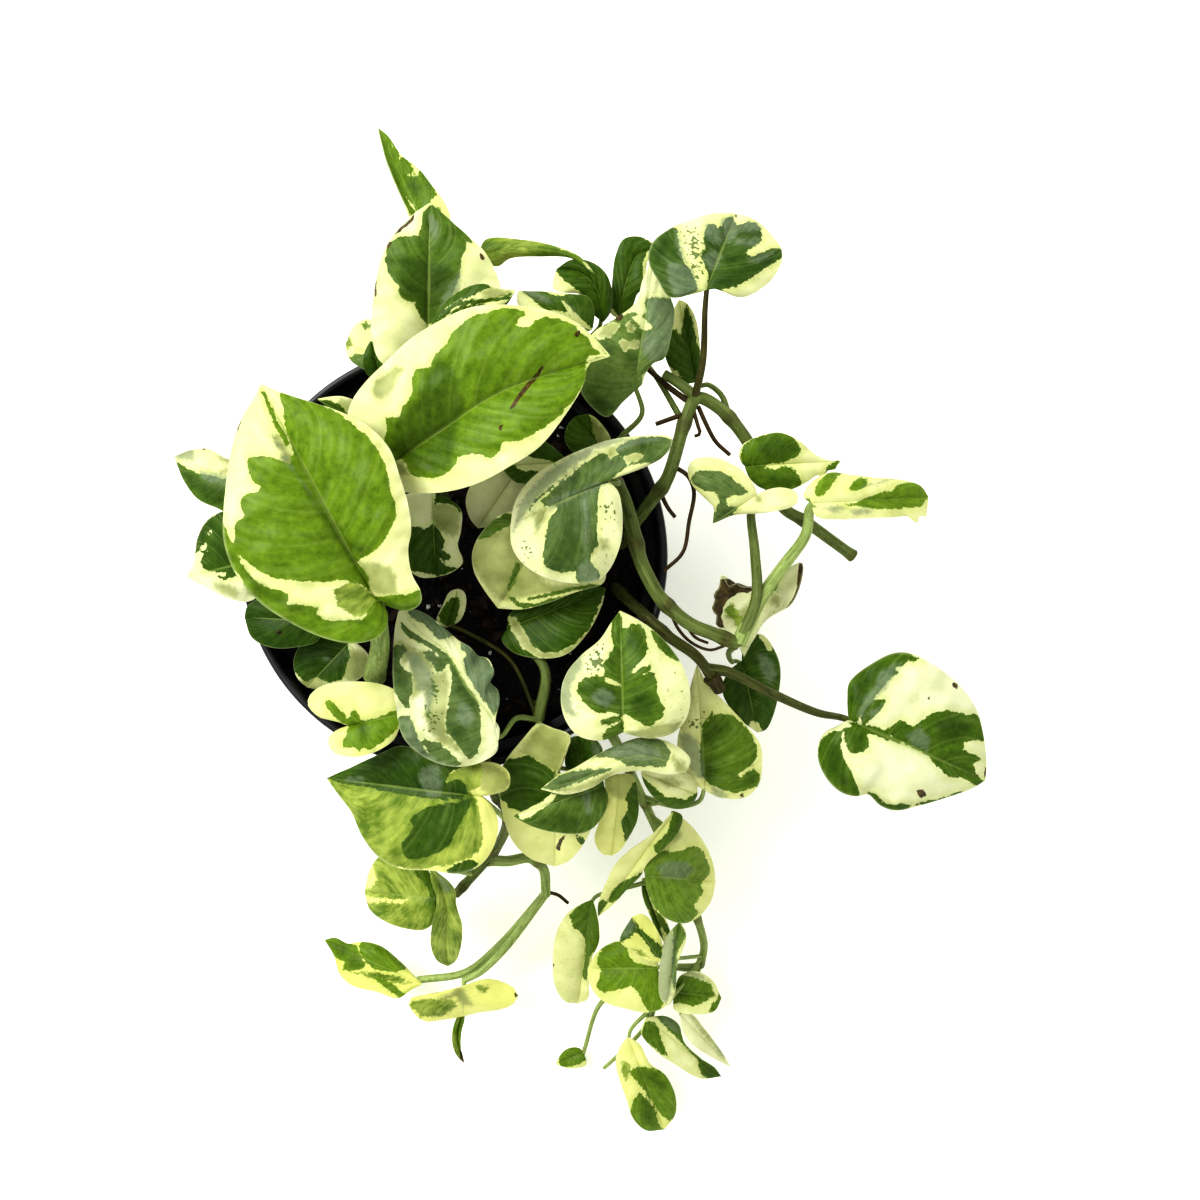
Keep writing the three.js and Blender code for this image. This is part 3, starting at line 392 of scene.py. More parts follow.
def scattered(name, count, sizes, flatness, seed):
    """Copies of one lump, strewn over the soil."""
    deselect_all()
    bpy.ops.mesh.primitive_ico_sphere_add(subdivisions=1, radius=1)
    lump = named("lump")
    chance = np.random.default_rng(seed)
    corners = np.array([vertex.co for vertex in lump.data.vertices])
    corners *= 1 + LUMP_RAGGEDNESS * (chance.random((len(corners), 1)) - 0.5)
    faces = np.array([polygon.vertices[:] for polygon in lump.data.polygons])
    bpy.data.objects.remove(lump)
    places, cells = [], []
    for copy in range(count):
        angle = chance.random() * math.tau
        radius = (SOIL_RADIUS - SOIL_EDGE) * math.sqrt(chance.random())
        x = radius * math.cos(angle)
        y = radius * math.sin(angle)
        size = sizes[0] + (sizes[1] - sizes[0]) * chance.random() ** 2
        turn, _ = np.linalg.qr(chance.normal(size=(3, 3)))
        body = corners * size / 2 * np.array([LUMP_LENGTHENING, 1.0, flatness]) @ turn.T
        places.append(body + [x, y, SOIL_TOP + lumps(x, y) + LUMP_RISE * size])
        cells.append(faces + copy * len(corners))
    mesh = bpy.data.meshes.new(name)
    mesh.from_pydata((np.concatenate(places) * MM).tolist(), [], np.concatenate(cells).tolist())
    piece = bpy.data.objects.new(name, mesh)
    bpy.context.scene.collection.objects.link(piece)
    close_and_face_out(piece)
    return piece


soil_pieces = {"potting_mix": soil}
for name, row in LOOSE_PIECES.items():
    soil_pieces[name] = scattered(name, **row)
for name, piece in soil_pieces.items():
    stand_for(piece, "soil")
    print(name, len(piece.data.polygons), "faces")

# %% [markdown]
# Damp peat is nearly black and quite matt, bark chips are a dull red-brown, and perlite is a white
# expanded glass with a chalky surface. They share one recipe: two colours mixed by noise.

# %% Finishes: damp peat, bark and perlite
EARTHS = {
    "potting_mix": dict(name="damp peat", dark="#050403", light="#1a120d", spot=2.2, roughness=0.95),
    "peat_crumbs": dict(name="peat crumb", dark="#070504", light="#241912", spot=1.5, roughness=0.95),
    "bark_chips": dict(name="pine bark", dark="#150d08", light="#3a271b", spot=3.0, roughness=0.8),
    "perlite": dict(name="expanded perlite", dark="#a9a9a2", light="#e9e9e4", spot=0.8, roughness=0.9),
}


def earthy(name, dark, light, spot, roughness):
    """A matt, rough finish of two colours in spots of a size in mm."""
    material, tree, shader = new_material(name)
    place = add_node(tree, "TexCoord").outputs["Object"]
    sockets = {"Vector": place, "Scale": spots(spot), "Detail": 6.0, "Roughness": 0.65}
    cloud = add_node(tree, "TexNoise", sockets).outputs["Fac"]
    sockets = {"Value": cloud, "From Min": 0.35, "From Max": 0.7}
    share = add_node(tree, "MapRange", sockets).outputs["Result"]
    pair = {0: share, 6: linear(dark), 7: linear(light)}
    colour = add_node(tree, "Mix", pair, data_type="RGBA").outputs["Result"]
    bump = add_node(tree, "Bump", {"Height": cloud, "Strength": 0.8, "Distance": 0.3 * MM})
    tree.links.new(colour, shader.inputs["Base Color"])
    tree.links.new(bump.outputs["Normal"], shader.inputs["Normal"])
    shader.inputs["Roughness"].default_value = roughness
    return material


for name, row in EARTHS.items():
    soil_pieces[name].data.materials.append(earthy(**row))
print("finishes of the soil:", len(EARTHS))

# %% [markdown]
# ## The vines and their leaves
# A place is written as two numbers, across and down, and where it needs one its height is the third.
# A smooth line through a few places is a Catmull-Rom curve. `Line` holds one as many short steps, and
# finds the place at any share of its length.

# %% Places and smooth lines
STEPS_BETWEEN = 24
SMALLEST_GAP = 1e-4


def read_places(text):
    """The places of a text such as "478,415,110 464,392,120" as rows of numbers."""
    return np.array([place.split(",") for place in text.split()], float)


class Line:
    def __init__(self, points):
        points = np.asarray(points, float)
        ends = 2 * points[0] - points[1], 2 * points[-1] - points[-2]
        points = np.vstack([ends[0], points, ends[1]])
        steps = np.arange(STEPS_BETWEEN)[:, None] / STEPS_BETWEEN
        fine = []
        for before, start, stop, after in zip(points, points[1:], points[2:], points[3:]):
            spans = (start - before, stop - start, after - stop)
            gap_before, gap, gap_after = (max(SMALLEST_GAP, np.linalg.norm(span) ** 0.5) for span in spans)
            speed_before, speed, speed_after = spans[0] / gap_before, spans[1] / gap, spans[2] / gap_after
            leave = (speed_before - (stop - before) / (gap_before + gap) + speed) * gap
            reach = (speed - (after - start) / (gap + gap_after) + speed_after) * gap
            square = -3 * start + 3 * stop - 2 * leave - reach
            cube = 2 * start - 2 * stop + leave + reach
            fine.append(start + leave * steps + square * steps**2 + cube * steps**3)
        fine.append(points[-2:-1])
        self.fine = np.vstack(fine)
        gaps = np.linalg.norm(np.diff(self.fine, axis=0), axis=1)
        self.walked = np.concatenate([[0], np.cumsum(gaps)])
        self.length = self.walked[-1]

    def at(self, share):
        way = np.asarray(share, float) * self.length
        return np.stack([np.interp(way, self.walked, axis) for axis in self.fine.T], axis=-1)


# %% [markdown]
# Each vine is planted where it is seen to enter the soil, and its stem goes on through its points. A
# twig is a radius and its points. A leaf grows `at` a share of the stem's length or from a `twig`, and
# its stalk goes `via` some places to the notch, its `base`. The blade ends at its `tip`, and its two
# edges, left and right of the midrib, are as they are seen on the way. `arch` raises the middle of the
# midrib, `lift` is how far the two edges stand above it, and `bulge` how far the middles of the halves
# stand above a straight line, all in mm. `wave` has the height of the edge's waves, their number and
# their start.
#
# The leaves are cream with green patches, and no two are alike, so each leaf's patches are outlined as
# they are seen, with semicolons between them. The kinds are `green`, `dark` for a deeper green that in
# many places is painted shade, `grey` for the silvery green, in places a painted
# sheen, `lime` for mottled yellow-green, `tan` for olive shade painted on the cream, `specks`
# for cream strewn with olive dots, and `brown` for scars and dry edges. `cream` takes all of them but
# `tan` away again, and `dark` shows on green alone. For a whole leaf, `deep` and `silver`
# turn its green, `warm` makes its cream yellower, and `freckled` strews it with small olive dots.

# %% Helpers: note down a vine and a leaf
MIDRIB_CROWDING = 1.3
RIGHT_WAVE_DELAY = 0.3
WIDTH_SAMPLES = 10
LEAF_SHARES = ("deep", "silver", "warm", "freckled")
PLAIN_LEAF = dict(
    midrib="", arch=2, lift=[1, 1], bulge=[1, 1], wave=[0.6, 2, 0], at=1, via="", stalk=1.15, twig=None,
    small=False, over=False, deep=0.7, silver=0.0, warm=0.3, freckled=0.15,
)
VINES = []


def add_vine(name, radius, planted, stem, twigs=()):
    """Notes down a vine. The leaves that come next grow on it."""
    vine = dict(name=name, radius=radius, stem=read_places(stem), leaves=[])
    vine["planted"] = read_places(planted)[0]
    vine["twigs"] = [(thickness, read_places(points)) for thickness, points in twigs]
    VINES.append(vine)


def add_leaf(**row):
    """Notes down a leaf of the latest vine, with what is usual and its three lines as they are seen."""
    vine = VINES[-1]
    leaf = {**PLAIN_LEAF, **row}
    before = [other for other in vine["leaves"] if other["small"] == leaf["small"]]
    kind = "small" if leaf["small"] else "leaf"
    leaf["name"] = f"{vine['name']}_{kind}_{len(before) + 1}"
    leaf["node"] = f"{vine['name']}_vine" if leaf["small"] else leaf["name"]
    leaf["base"] = read_places(leaf["base"])[0]
    leaf["tip"] = read_places(leaf["tip"])[0]
    leaf["via"] = read_places(leaf["via"])
    notch, point = leaf["base"][:2], leaf["tip"][:2]
    leaf["rib_line"] = Line([notch, *read_places(leaf["midrib"]), point])
    leaf["edge_lines"] = [Line([notch, *read_places(leaf[side]), point]) for side in ("left", "right")]
    shares = np.arange(1, WIDTH_SAMPLES) / WIDTH_SAMPLES
    ribs = leaf["rib_line"].at(shares**MIDRIB_CROWDING)
    leaf["widest"] = [np.linalg.norm(ribs - edge.at(shares), axis=1).max() for edge in leaf["edge_lines"]]
    vine["leaves"].append(leaf)


# %% [markdown]
# The first vine leans over the rim at the back. Its large leaf stands up, mostly cream, with a torn
# sliver of a leaf behind it and a rolled one beside it.

# %% The vine at the back
add_vine(
    "back", radius=1.8, planted="482,428", stem="478,415,110 464,392,120 452,372,127",
)
add_leaf(
    base="427,350,138", tip="430,203,148", arch=4, lift=[1, -2], bulge=[2, 1],
    left="400,368 381,362 372,335 374,293 386,247 412,216",
    right="455,362 486,345 502,318 501,287 486,254 470,238 450,220",
    deep=0.6, silver=0.12,
    green="""430,205 423,214 422,225 418,236 410,236 400,237 393,241 387,248 385,260 387,271 391,278 399,286
    400,296 406,301 416,301 415,308 421,317 427,326 433,322 440,312 446,303 452,294 457,284 460,276
    460,262 462,256 466,250 466,243 461,234 453,224 444,214 434,206; 431,204 440,209 455,222 470,238
    474,244 468,242 458,235 449,225 438,213""",
    dark="400,255 425,262 450,268 456,276 446,292 434,308 428,320 418,308 408,296 398,280",
    grey="""428,214 432,216 440,228 436,240 430,232; 440,311 450,303 458,292 462,280 461,269 455,279 448,291
    441,302""",
    brown="""395,235 399,229 408,222 415,214 414,220 405,228 399,233; 386,247 390,241 392,243 388,250;
    374,279 377,280 377,296 375,298; 480,253 485,257 483,261 479,257; 470,253 473,255 470,258""",
)
add_leaf(
    base="432,240,130", tip="378,128,116", at=0.9, via="438,300,126", arch=4, bulge=[-1, 1],
    left="412,222 404,203 396,185 386,160 382,145",
    right="450,220 446,205 434,188 418,168 402,156 388,136",
    deep=0.25, warm=0.55,
    green="""381,152 387,159 392,169 398,181 404,193 410,205 417,212 413,218 409,213 403,202 397,190 390,172
    385,162; 402,181 403,176 410,176 418,178 420,168 428,178 434,188 438,196 430,200 432,204 424,208
    418,213 412,204 406,193; 401,158 405,156 410,163 415,172 410,175 403,173 400,165; 384,141 389,147
    394,158 398,170 395,172 390,163 385,150; 377,127 386,131 393,138 399,150 400,161 396,157 392,145
    386,136; 437,205 442,210 440,214 436,209; 374,124 383,128 400,160 415,190 432,210 424,216 404,196
    388,168 378,140""",
    dark="408,178 416,177 420,184 420,197 414,197 409,188; 422,172 428,178 432,188 425,184",
    lime="402,162 409,165 416,173 410,176 404,172; 418,186 428,181 436,194 428,200 420,195",
)
add_leaf(
    base="478,258,133", tip="595,274,134", at=0.95, via="468,310,130", lift=[-1, -3],
    midrib="515,248 560,251 577,258",
    left="486,240 520,240 553,246 578,256",
    right="497,266 510,258 540,256 572,258",
    deep=0.0, silver=0.22, green="538,246 560,243 590,256 602,277 590,274 574,263 548,260 536,262",
    cream="556,247 575,251 590,259 597,274 592,262 577,255 560,250; 583,262 589,264 594,272 588,268",
    tan="484,247 490,238 520,239 553,245 540,243 515,242 494,242",
    lime="480,236 486,230 520,228 562,238 570,262 512,266 499,272 480,266",
)
add_leaf(
    base="603,322,123", tip="557,269,127", at=0.6, via="540,375,120", arch=3, bulge=[1, 2],
    midrib="601,308 599,294 590,280 574,270",
    left="592,312 588,300 578,293 560,292 553,288 554,278",
    right="610,312 612,294 605,273 590,262 572,260",
    deep=0.9,
    green="603,323 592,312 588,299 576,289 564,280 556,272 560,262 580,256 598,258 610,270 615,295 613,315",
)
add_leaf(
    small=True, base="592,330,129", tip="519,291,132", at=0.7, via="540,350,122", arch=2,
    left="575,324 553,318 533,312 519,306 517,296",
    right="594,312 588,297 570,294 548,292",
    deep=0.8, silver=0.1,
    green="523,291 540,290 551,294 560,296 578,293 590,296 597,312 595,330 580,319 562,311 545,310 535,303",
    grey="523,291 535,290 545,296 553,303 540,302 530,297; 566,303 573,308 580,317 575,315",
    cream="562,300 568,305 580,317 591,328 586,328 572,316 563,306",
)
add_leaf(
    small=True, base="430,328,153", tip="516,290,157", arch=1, lift=[0, 0], via="446,376,138 437,356,149",
    left="442,306 462,290 482,284 500,289",
    right="440,326 455,316 480,308 504,306",
    deep=0.85,
    green="""440,306 450,297 464,288 478,282 488,284 490,288 480,292 468,298 455,301 447,308 437,321
    428,328; 446,309 456,302 480,299 500,298 513,293 508,299 490,303 470,304 455,307 447,315 438,323
    431,328; 447,317 455,310 465,306 478,304 489,306 476,309 462,311 452,316; 503,306 510,298 517,291
    518,306""",
    tan="480,292 490,288 502,289 510,292 500,297 484,298",
)
add_leaf(
    small=True, base="378,356,126", tip="346,344,120", via="420,372,124",
    left="372,370 358,366 349,358",
    right="380,330 370,319 355,325",
    deep=0.5, silver=0.4, warm=0.4, green="350,357 356,354 366,355 369,362 364,369 356,369 350,364",
    lime="361,326 368,321 373,326 366,331; 344,342 350,337 353,345 347,351",
)
add_leaf(
    small=True, base="382,384,122", tip="371,341,130", at=0.7, via="410,392,120",
    left="370,377 363,364 366,350",
    right="388,372 384,358 378,346",
    deep=0.95, green="372,338 392,350 392,386 360,386 358,352",
)
print("leaves here:", len(VINES[-1]["leaves"]))

# %% [markdown]
# This vine rises and forks in brown, corky nodes. Cut side shoots and air roots are left on it as twigs.

# %% The vine at the top right
add_vine(
    "top", radius=2.4, planted="622,543",
    stem="""634,524,113 652,500,121 667,479,125 686,419,128 697,398,128 719,408,126 744,436,122 783,507,114
    806,522,111 853,556,104""",
    twigs=[
        (2, "697,398,128 680,384,127 664,374,126"),
        (1.1, "692,404,127 670,388,124 648,369,122"),
        (0.9, "692,412,128 676,417,129 656,424,130"),
        (0.7, "694,412,128 698,426,130 700,434,129 695,436,128"),
        (0.8, "698,406,127 708,428,126 716,442,125 730,455,124"),
        (0.8, "673,466,125 688,476,125 694,492,123 689,522,121 683,552,120 664,571,119"),
        (0.8, "661,494,121 668,508,121 675,517,120"),
    ],
)
add_leaf(
    base="706,290,148", tip="736,214,132", at=0.42, via="703,360,136 705,310,144", stalk=1.4, arch=5,
    lift=[-2, -4], bulge=[3, 3],
    left="690,294 670,297 658,280 649,262 652,244 670,229 700,217 720,213",
    right="716,288 740,297 762,288 778,270 782,252 772,236 760,224 748,217",
    deep=1.0, silver=0.15, warm=0.35, freckled=0.3,
    green="""650,243 660,232 670,228 677,229 678,240 680,252 684,262 690,270 695,280 698,290 690,294 670,300
    664,293 656,280 648,266; 700,252 707,250 703,244 704,236 706,226 712,224 718,228 722,226 726,218
    732,217 737,226 745,223 756,223 762,231 762,240 755,246 748,250 745,255 750,257 760,254 772,249
    783,249 784,256 772,264 760,272 748,280 735,287 720,290 707,291 708,276 705,268 702,260""",
    grey="""668,264 676,263 684,264 692,271 696,280 698,290 690,293 676,298 672,290 670,282 667,275; 676,230
    680,234 682,250 686,263 681,262 676,246; 705,226 712,224 719,230 722,240 718,245 710,240 704,236;
    722,220 732,217 738,226 746,223 757,223 762,231 750,232 738,230 736,238 728,243 722,236; 734,239
    750,240 762,238 755,246 745,246 734,245; 702,256 714,251 722,257 718,268 710,271 705,264; 748,259
    765,254 780,251 772,256 758,262 748,263""",
    dark="""703,244 710,240 717,246 714,252 706,250; 712,277 735,272 760,262 776,254 770,264 750,277 730,285
    712,285; 740,228 758,226 760,234 742,235; 690,230 694,229 693,236; 696,229 700,232 698,238; 687,238
    692,236 693,246 689,250 686,244; 686,256 692,256 690,270 687,264; 694,262 699,262 701,272 696,270;
    722,256 745,252 742,262 726,264; 654,246 664,238 672,240 668,256 656,262""",
    brown="733,214 738,216 736,219", specks="684,230 694,226 702,240 704,260 700,280 692,276 688,256",
)
add_leaf(
    base="618,318,118", tip="657,250,124", at=0.36, via="655,375,119 632,345,114", arch=3,
    midrib="622,300 628,275 638,254",
    left="610,312 612,290 616,255 624,239 640,237 652,243",
    right="632,306 637,294 645,286 646,268 650,256",
    deep=0.9, silver=0.05,
    green="""616,250 618,238 628,233 640,236 650,242 652,247 646,254 643,264 642,280 648,290 640,295 634,303
    631,312 620,318 610,305 611,280 614,264""",
    tan="634,239 644,240 654,246 648,252 640,255 636,249; 612,292 616,290 618,300 614,304",
)
add_leaf(
    base="695,382,116", tip="679,300,122", at=0.52, via="722,396,122 709,385,118",
    left="680,383 668,364 665,352 671,330 674,310",
    right="699,375 699,340 695,318 687,304",
    deep=0.8, warm=0.45,
    green="""686,302 692,310 696,324 699,345 701,370 697,384 683,384 674,376 666,366 664,354 668,340 672,330
    676,330 680,336 684,318""",
    dark="686,308 692,316 696,340 690,345 685,330 684,316; 690,350 699,350 699,378 692,378",
    cream="""686,303 691,308 697,322 699,345 697,345 694,325 689,312; 664,362 672,368 682,376 676,378
    668,372""",
    lime="671,352 680,350 685,358 680,366 672,362",
)
add_leaf(
    base="745,466,133", tip="841,461,128", at=0.6, via="748,452,126", lift=[2, -2], bulge=[2, 1],
    left="740,458 742,446 755,438 780,433 800,442 815,455 828,461",
    right="750,478 762,488 788,490 808,481 817,475 823,476 828,470 834,470 837,465",
    deep=0.5, warm=0.4,
    green="""741,458 743,446 754,438 780,431 792,437 801,448 798,456 785,462 768,464 765,468 775,470 785,466
    795,470 801,480 800,490 785,494 765,492 752,486 745,476; 827,466 842,458 834,469 824,473""",
    dark="762,441 780,437 794,443 798,451 785,457 768,460 758,454; 765,476 780,474 795,480 790,488 770,486",
)
print("leaves here:", len(VINES[-1]["leaves"]))

# %% [markdown]
# A thick stem that bends over the rim at the right. Its silvery leaves have long cream strokes, and two
# fine air roots hang below it.

# %% The vine at the right
add_vine(
    "right", radius=2.8, planted="588,454",
    stem="""598,462,112 612,478,126 624,500,133 634,534,135 640,559,135 649,579,134 662,600,132 690,624,129
    714,634,127 738,644,125""",
    twigs=[
        (0.6, "672,616,126 679,630,123 692,643,121 710,650,121 724,646,122"),
        (0.6, "688,628,126 696,638,123 708,643,122"),
    ],
)
add_leaf(
    base="606,480,152", tip="511,525,136", at=0.22, via="618,484,145", arch=4, lift=[-5, 4], bulge=[4, 3],
    wave=[1.8, 4.5, 0],
    left="618,492 622,515 620,545 610,568 598,580 575,583 545,577 522,562 512,545",
    right="625,474 650,464 668,452 672,438 640,436 600,443 560,460 530,480 515,503",
    deep=0.85, silver=0.55, warm=0.2, freckled=0.6,
    green="""526,514 535,500 545,492 560,480 580,466 596,456 610,452 622,444 640,438 660,436 672,440 672,451
    664,458 650,463 632,464 622,470 608,482 600,486 598,500 597,530 598,545 592,552 590,560 600,575
    598,584 585,588 577,580 575,571 560,572 546,568 543,556 545,540 548,525 552,515 558,508 555,505
    545,506 540,500""",
    dark="""558,479 575,468 580,480 568,492 558,492; 598,454 608,450 614,462 604,472; 562,502 580,498
    582,540 576,562 562,567 552,560 562,538; 590,538 600,538 600,553 590,556; 546,560 575,562 576,571
    560,572 548,569; 636,441 652,440 650,452 638,452""",
    grey="""514,532 519,506 529,490 548,472 570,457 597,441 625,436 628,444 600,448 590,456 572,468 552,484
    538,498 524,516; 548,500 570,492 598,482 604,486 580,496 560,507 552,512; 582,500 588,498 590,520
    586,560 583,540; 577,562 592,562 600,575 598,582 588,586 578,578; 612,446 640,438 662,437 660,442
    636,444 618,452""",
    cream="""525,516 539,499 560,481 580,465 593,457 594,458 580,467 559,485 540,502 527,516; 592,449
    602,447 604,454 594,456; 606,450 614,446 618,454 609,460; 622,457 640,452 645,459 627,464""",
    specks="520,540 530,540 532,552 524,554; 602,504 614,502 614,514 604,516",
    tan="""533,512 548,510 545,522 536,534; 600,540 608,538 609,549 601,550; 606,450 614,446 618,454
    609,460; 622,457 640,452 645,459 627,464""",
)
add_leaf(
    base="548,522,130", tip="498,608,122", at=0.12, via="585,480,120 566,505,126", arch=3, bulge=[2, 2],
    left="585,533 603,558 604,582 575,592 550,602 522,609",
    right="528,512 505,513 485,528 473,550 474,570 486,592",
    deep=0.5, silver=0.2, warm=0.45,
    green="""478,540 484,527 495,518 506,514 516,515 514,524 500,530 490,537; 516,562 520,565 517,580
    511,592 507,590 510,578; 507,596 524,599 540,595 556,591 575,586 598,584 604,586 590,594 572,598
    556,602 536,607 520,608""",
    tan="""470,545 480,535 500,530 512,524 522,540 530,565 550,585 590,585 570,590 540,594 512,600 500,600
    488,588 476,572 470,560""",
    cream="514,597 530,600 550,596 575,590 594,588 575,593 556,597 536,603 518,602",
)
add_leaf(
    base="635,390,138", tip="655,252,134", at=0.1, via="622,436,126 642,414,132", arch=4, lift=[-2, -2],
    bulge=[2, 1], wave=[1.2, 2.5, 0],
    left="622,402 607,417 590,405 580,388 583,360 592,335 617,318 636,303 643,280",
    right="641,385 646,372 654,362 664,358 671,335 674,310 668,292 661,272",
    deep=0.35, silver=0.5, warm=0.1, freckled=0.4,
    green="""588,340 598,330 606,324 618,318 632,312 640,300 655,297 670,299 676,312 674,332 670,350 665,360
    652,364 642,376 642,390 627,400 617,408 610,418 600,416 588,404 578,392 578,376 584,360""",
    dark="""605,342 614,348 612,361 606,353; 632,322 643,334 643,349 636,345; 622,352 637,352 638,367
    626,368; 648,300 668,300 672,310 656,308; 590,394 604,398 612,406 604,414 596,408""",
    grey="640,300 650,297 671,298 676,314 673,335 666,357 655,362 645,356 640,342 652,330 645,318 648,308",
    cream="""630,312 632,297 642,290 657,291 660,297 647,299 643,304 647,312 641,316; 632,317 641,317
    653,326 649,331 640,329; 590,331 602,325 606,331 603,342 597,339; 618,343 622,339 629,341 635,338
    641,342 638,350 630,348 624,352; 625,325 630,321 635,327 633,335 628,332; 599,334 604,327 612,322
    621,324 617,331 612,338 605,338""",
    brown="614,317 622,314 624,318 618,323",
    tan="""618,343 622,339 629,341 635,338 641,342 638,350 630,348 624,352; 625,325 630,321 635,327 633,335
    628,332; 599,334 604,327 612,322 621,324 617,331 612,338 605,338""",
)
add_leaf(
    base="757,495,141", tip="713,523,135", via="756,600,126 755,554,127 751,514,131", arch=2, stalk=2.2,
    lift=[-1, 1], bulge=[1, 2],
    left="775,488 796,492 797,503 780,510 755,513 735,514",
    right="752,482 735,466 705,457 689,464 690,480 700,493 714,505",
    deep=0.75, silver=0.65, warm=0.35,
    green="""690,480 696,471 704,470 712,471 720,471 730,477 740,485 748,492 742,495 732,495 726,499 729,506
    738,507 737,511 728,516 716,524 711,523 715,514 717,508 720,500 715,491 706,491 698,487""",
    dark="713,523 719,513 724,508 732,506 739,508 735,512 727,517", tan="754,495 761,497 762,502 756,502",
)
add_leaf(
    base="812,503,138", tip="928,497,122", via="760,600,124 782,568,124 806,534,130", stalk=2.7,
    lift=[-2, -3], bulge=[2, 1], arch=3,
    left="804,496 812,482 830,473 850,475 875,478 900,480 920,486",
    right="816,516 840,519 870,518 897,517 908,516 917,523 919,516 925,517 927,507",
    deep=0.0, warm=0.5,
    green="""814,492 819,482 828,474 840,471 842,474 836,478 830,487 824,495 816,496; 847,490 853,482
    861,478 867,479 866,487 856,491; 844,505 852,505 862,499 872,495 882,492 892,491 896,485 905,483
    915,483 924,489 928,497 920,507 905,508 890,509 875,509 860,507; 800,500 810,498 812,503 806,506""",
    grey="""850,511 860,508 873,509 868,514 855,515; 822,507 838,506 845,509 834,512; 862,487 880,481
    896,478 880,484""",
    dark="833,517 850,517 850,522 833,522",
)
add_leaf(
    base="772,582,115", tip="744,657,107", lift=[3, 4], bulge=[-2, -2], via="760,608,122", over=True,
    left="790,567 802,563 800,585 790,605 768,618 753,640",
    right="""757,590 750,587 741,587 736,583 729,587 722,574 719,588 714,594 715,601 712,609 717,616 716,624
    727,634 738,645""",
    deep=0.4, silver=0.2, warm=0.1, freckled=0.4,
    brown="""712,600 712,590 722,578 730,580 736,578 746,584 756,588 748,593 740,592 731,597 726,601 723,609
    721,617 724,628 714,626 710,612; 799,562 805,560 804,580 796,600 784,616 776,620 790,604 797,590;
    752,586 762,590 756,596""",
    lime="724,606 732,602 736,611 743,615 746,622 738,625 730,618 725,613",
    tan="""724,616 732,622 741,631 749,626 753,612 759,602 752,598 745,606 739,612 733,608; 774,594 782,600
    778,608 770,602""",
    green="744,644 748,628 755,613 762,601 771,590 776,580 779,578 779,584 772,594 764,604 755,618 748,634",
)
add_leaf(
    base="742,661,101", tip="757,732,90", via="729,652,117 732,662,103", arch=2, bulge=[2, 1],
    left="745,644 760,634 773,648 780,668 778,695 773,715 766,729",
    right="730,670 722,688 728,705 742,721",
    deep=1.0, silver=0.05, green="735,630 785,630 790,740 720,745 715,690 722,664",
    grey="758,654 766,655 773,664 776,674 772,684 766,680 760,668",
    cream="750,721 758,721 763,734 756,736 748,729; 758,633 766,635 774,648 769,652 762,642",
    dark="738,660 752,668 756,690 748,712 736,700 732,680",
)
add_leaf(
    base="604,455,124", tip="576,416,128", at=0.1, arch=1,
    left="590,457 572,451 565,440 568,425",
    right="611,442 603,426 590,415",
    deep=0.75, warm=0.5, green="560,415 590,414 593,430 598,446 606,455 590,462 565,455 560,440",
    tan="588,416 602,426 613,440 606,457 598,447 591,435",
)
print("leaves here:", len(VINES[-1]["leaves"]))

# %% [markdown]
# A long, slender brown stem that reaches furthest to the right, past its own knobby cut end.

# %% The vine at the far right
add_vine(
    "long", radius=2.2, planted="616,588",
    stem="626,598,112 648,618,121 668,636,122 695,655,120 706,668,118 719,688,115",
    twigs=[
        (2.8, "711,676,116.5 716,683,115.5 720,690,114"),
    ],
)
add_leaf(
    base="849,720,97", tip="985,780,88", at=0.85, via="728,672,116 769,692,112 815,712,105", stalk=2,
    arch=6, lift=[-3, -4], bulge=[4, 4], wave=[1.2, 2.5, 0],
    left="848,700 850,682 870,665 895,653 912,654 932,664 956,682 975,707 983,735 986,762",
    right="838,726 824,734 818,750 822,770 838,790 855,796 868,794 880,805 895,810 920,805 950,796 972,788",
    warm=0.0,
    green="""849,720 846,700 847,688 850,680 860,668 873,660 889,653 903,651 914,656 922,661 908,661 904,665
    896,669 898,673 890,679 880,691 868,705 861,715 857,723; 860,719 864,708 872,702 880,698 886,701
    880,711 872,717 864,725; 884,731 892,726 900,720 908,723 914,727 922,720 932,713 946,710 958,713
    968,715 975,713 981,720 984,732 984,742 972,740 963,742 962,748 968,752 978,756 981,760 972,764
    976,772 981,779 986,784 978,786 970,782 962,778 950,777 942,772 934,764 928,756 918,750 905,744
    895,738; 848,722 866,725 880,727 888,733 898,740 904,745 890,741 876,736 866,733 856,731; 843,729
    852,726 866,727 867,734 869,742 867,750 858,754 850,752 845,742; 819,746 823,737 832,732 843,730
    841,745 843,755 849,768 855,780 860,792 857,798 845,797 833,790 822,773 817,758; 866,790 875,793
    882,800 890,805 902,803 912,804 905,812 888,812 876,806; 912,804 940,798 962,790 962,794 930,806""",
    dark="""868,793 874,795 882,799 890,805 905,805 922,803 938,802 920,808 905,811 890,812 880,808 870,800;
    851,700 856,684 868,672 882,663 876,676 866,692 858,708; 830,745 838,742 842,765 850,785 840,785
    828,765; 853,735 863,735 865,747 855,750; 890,772 896,780 903,786 897,784 890,776; 935,722 955,718
    972,726 962,738 940,740""",
    grey="""880,673 893,664 902,663 896,672 886,688 876,697 868,707 862,720 857,714 866,697 875,686; 870,712
    878,707 882,704 878,712 870,718; 905,735 920,728 930,738 928,752 912,744""",
    brown="""953,682 959,686 957,690 951,686; 927,697 931,695 930,701; 915,789 923,789 927,795 920,798;
    984,766 987,770 984,778""",
)
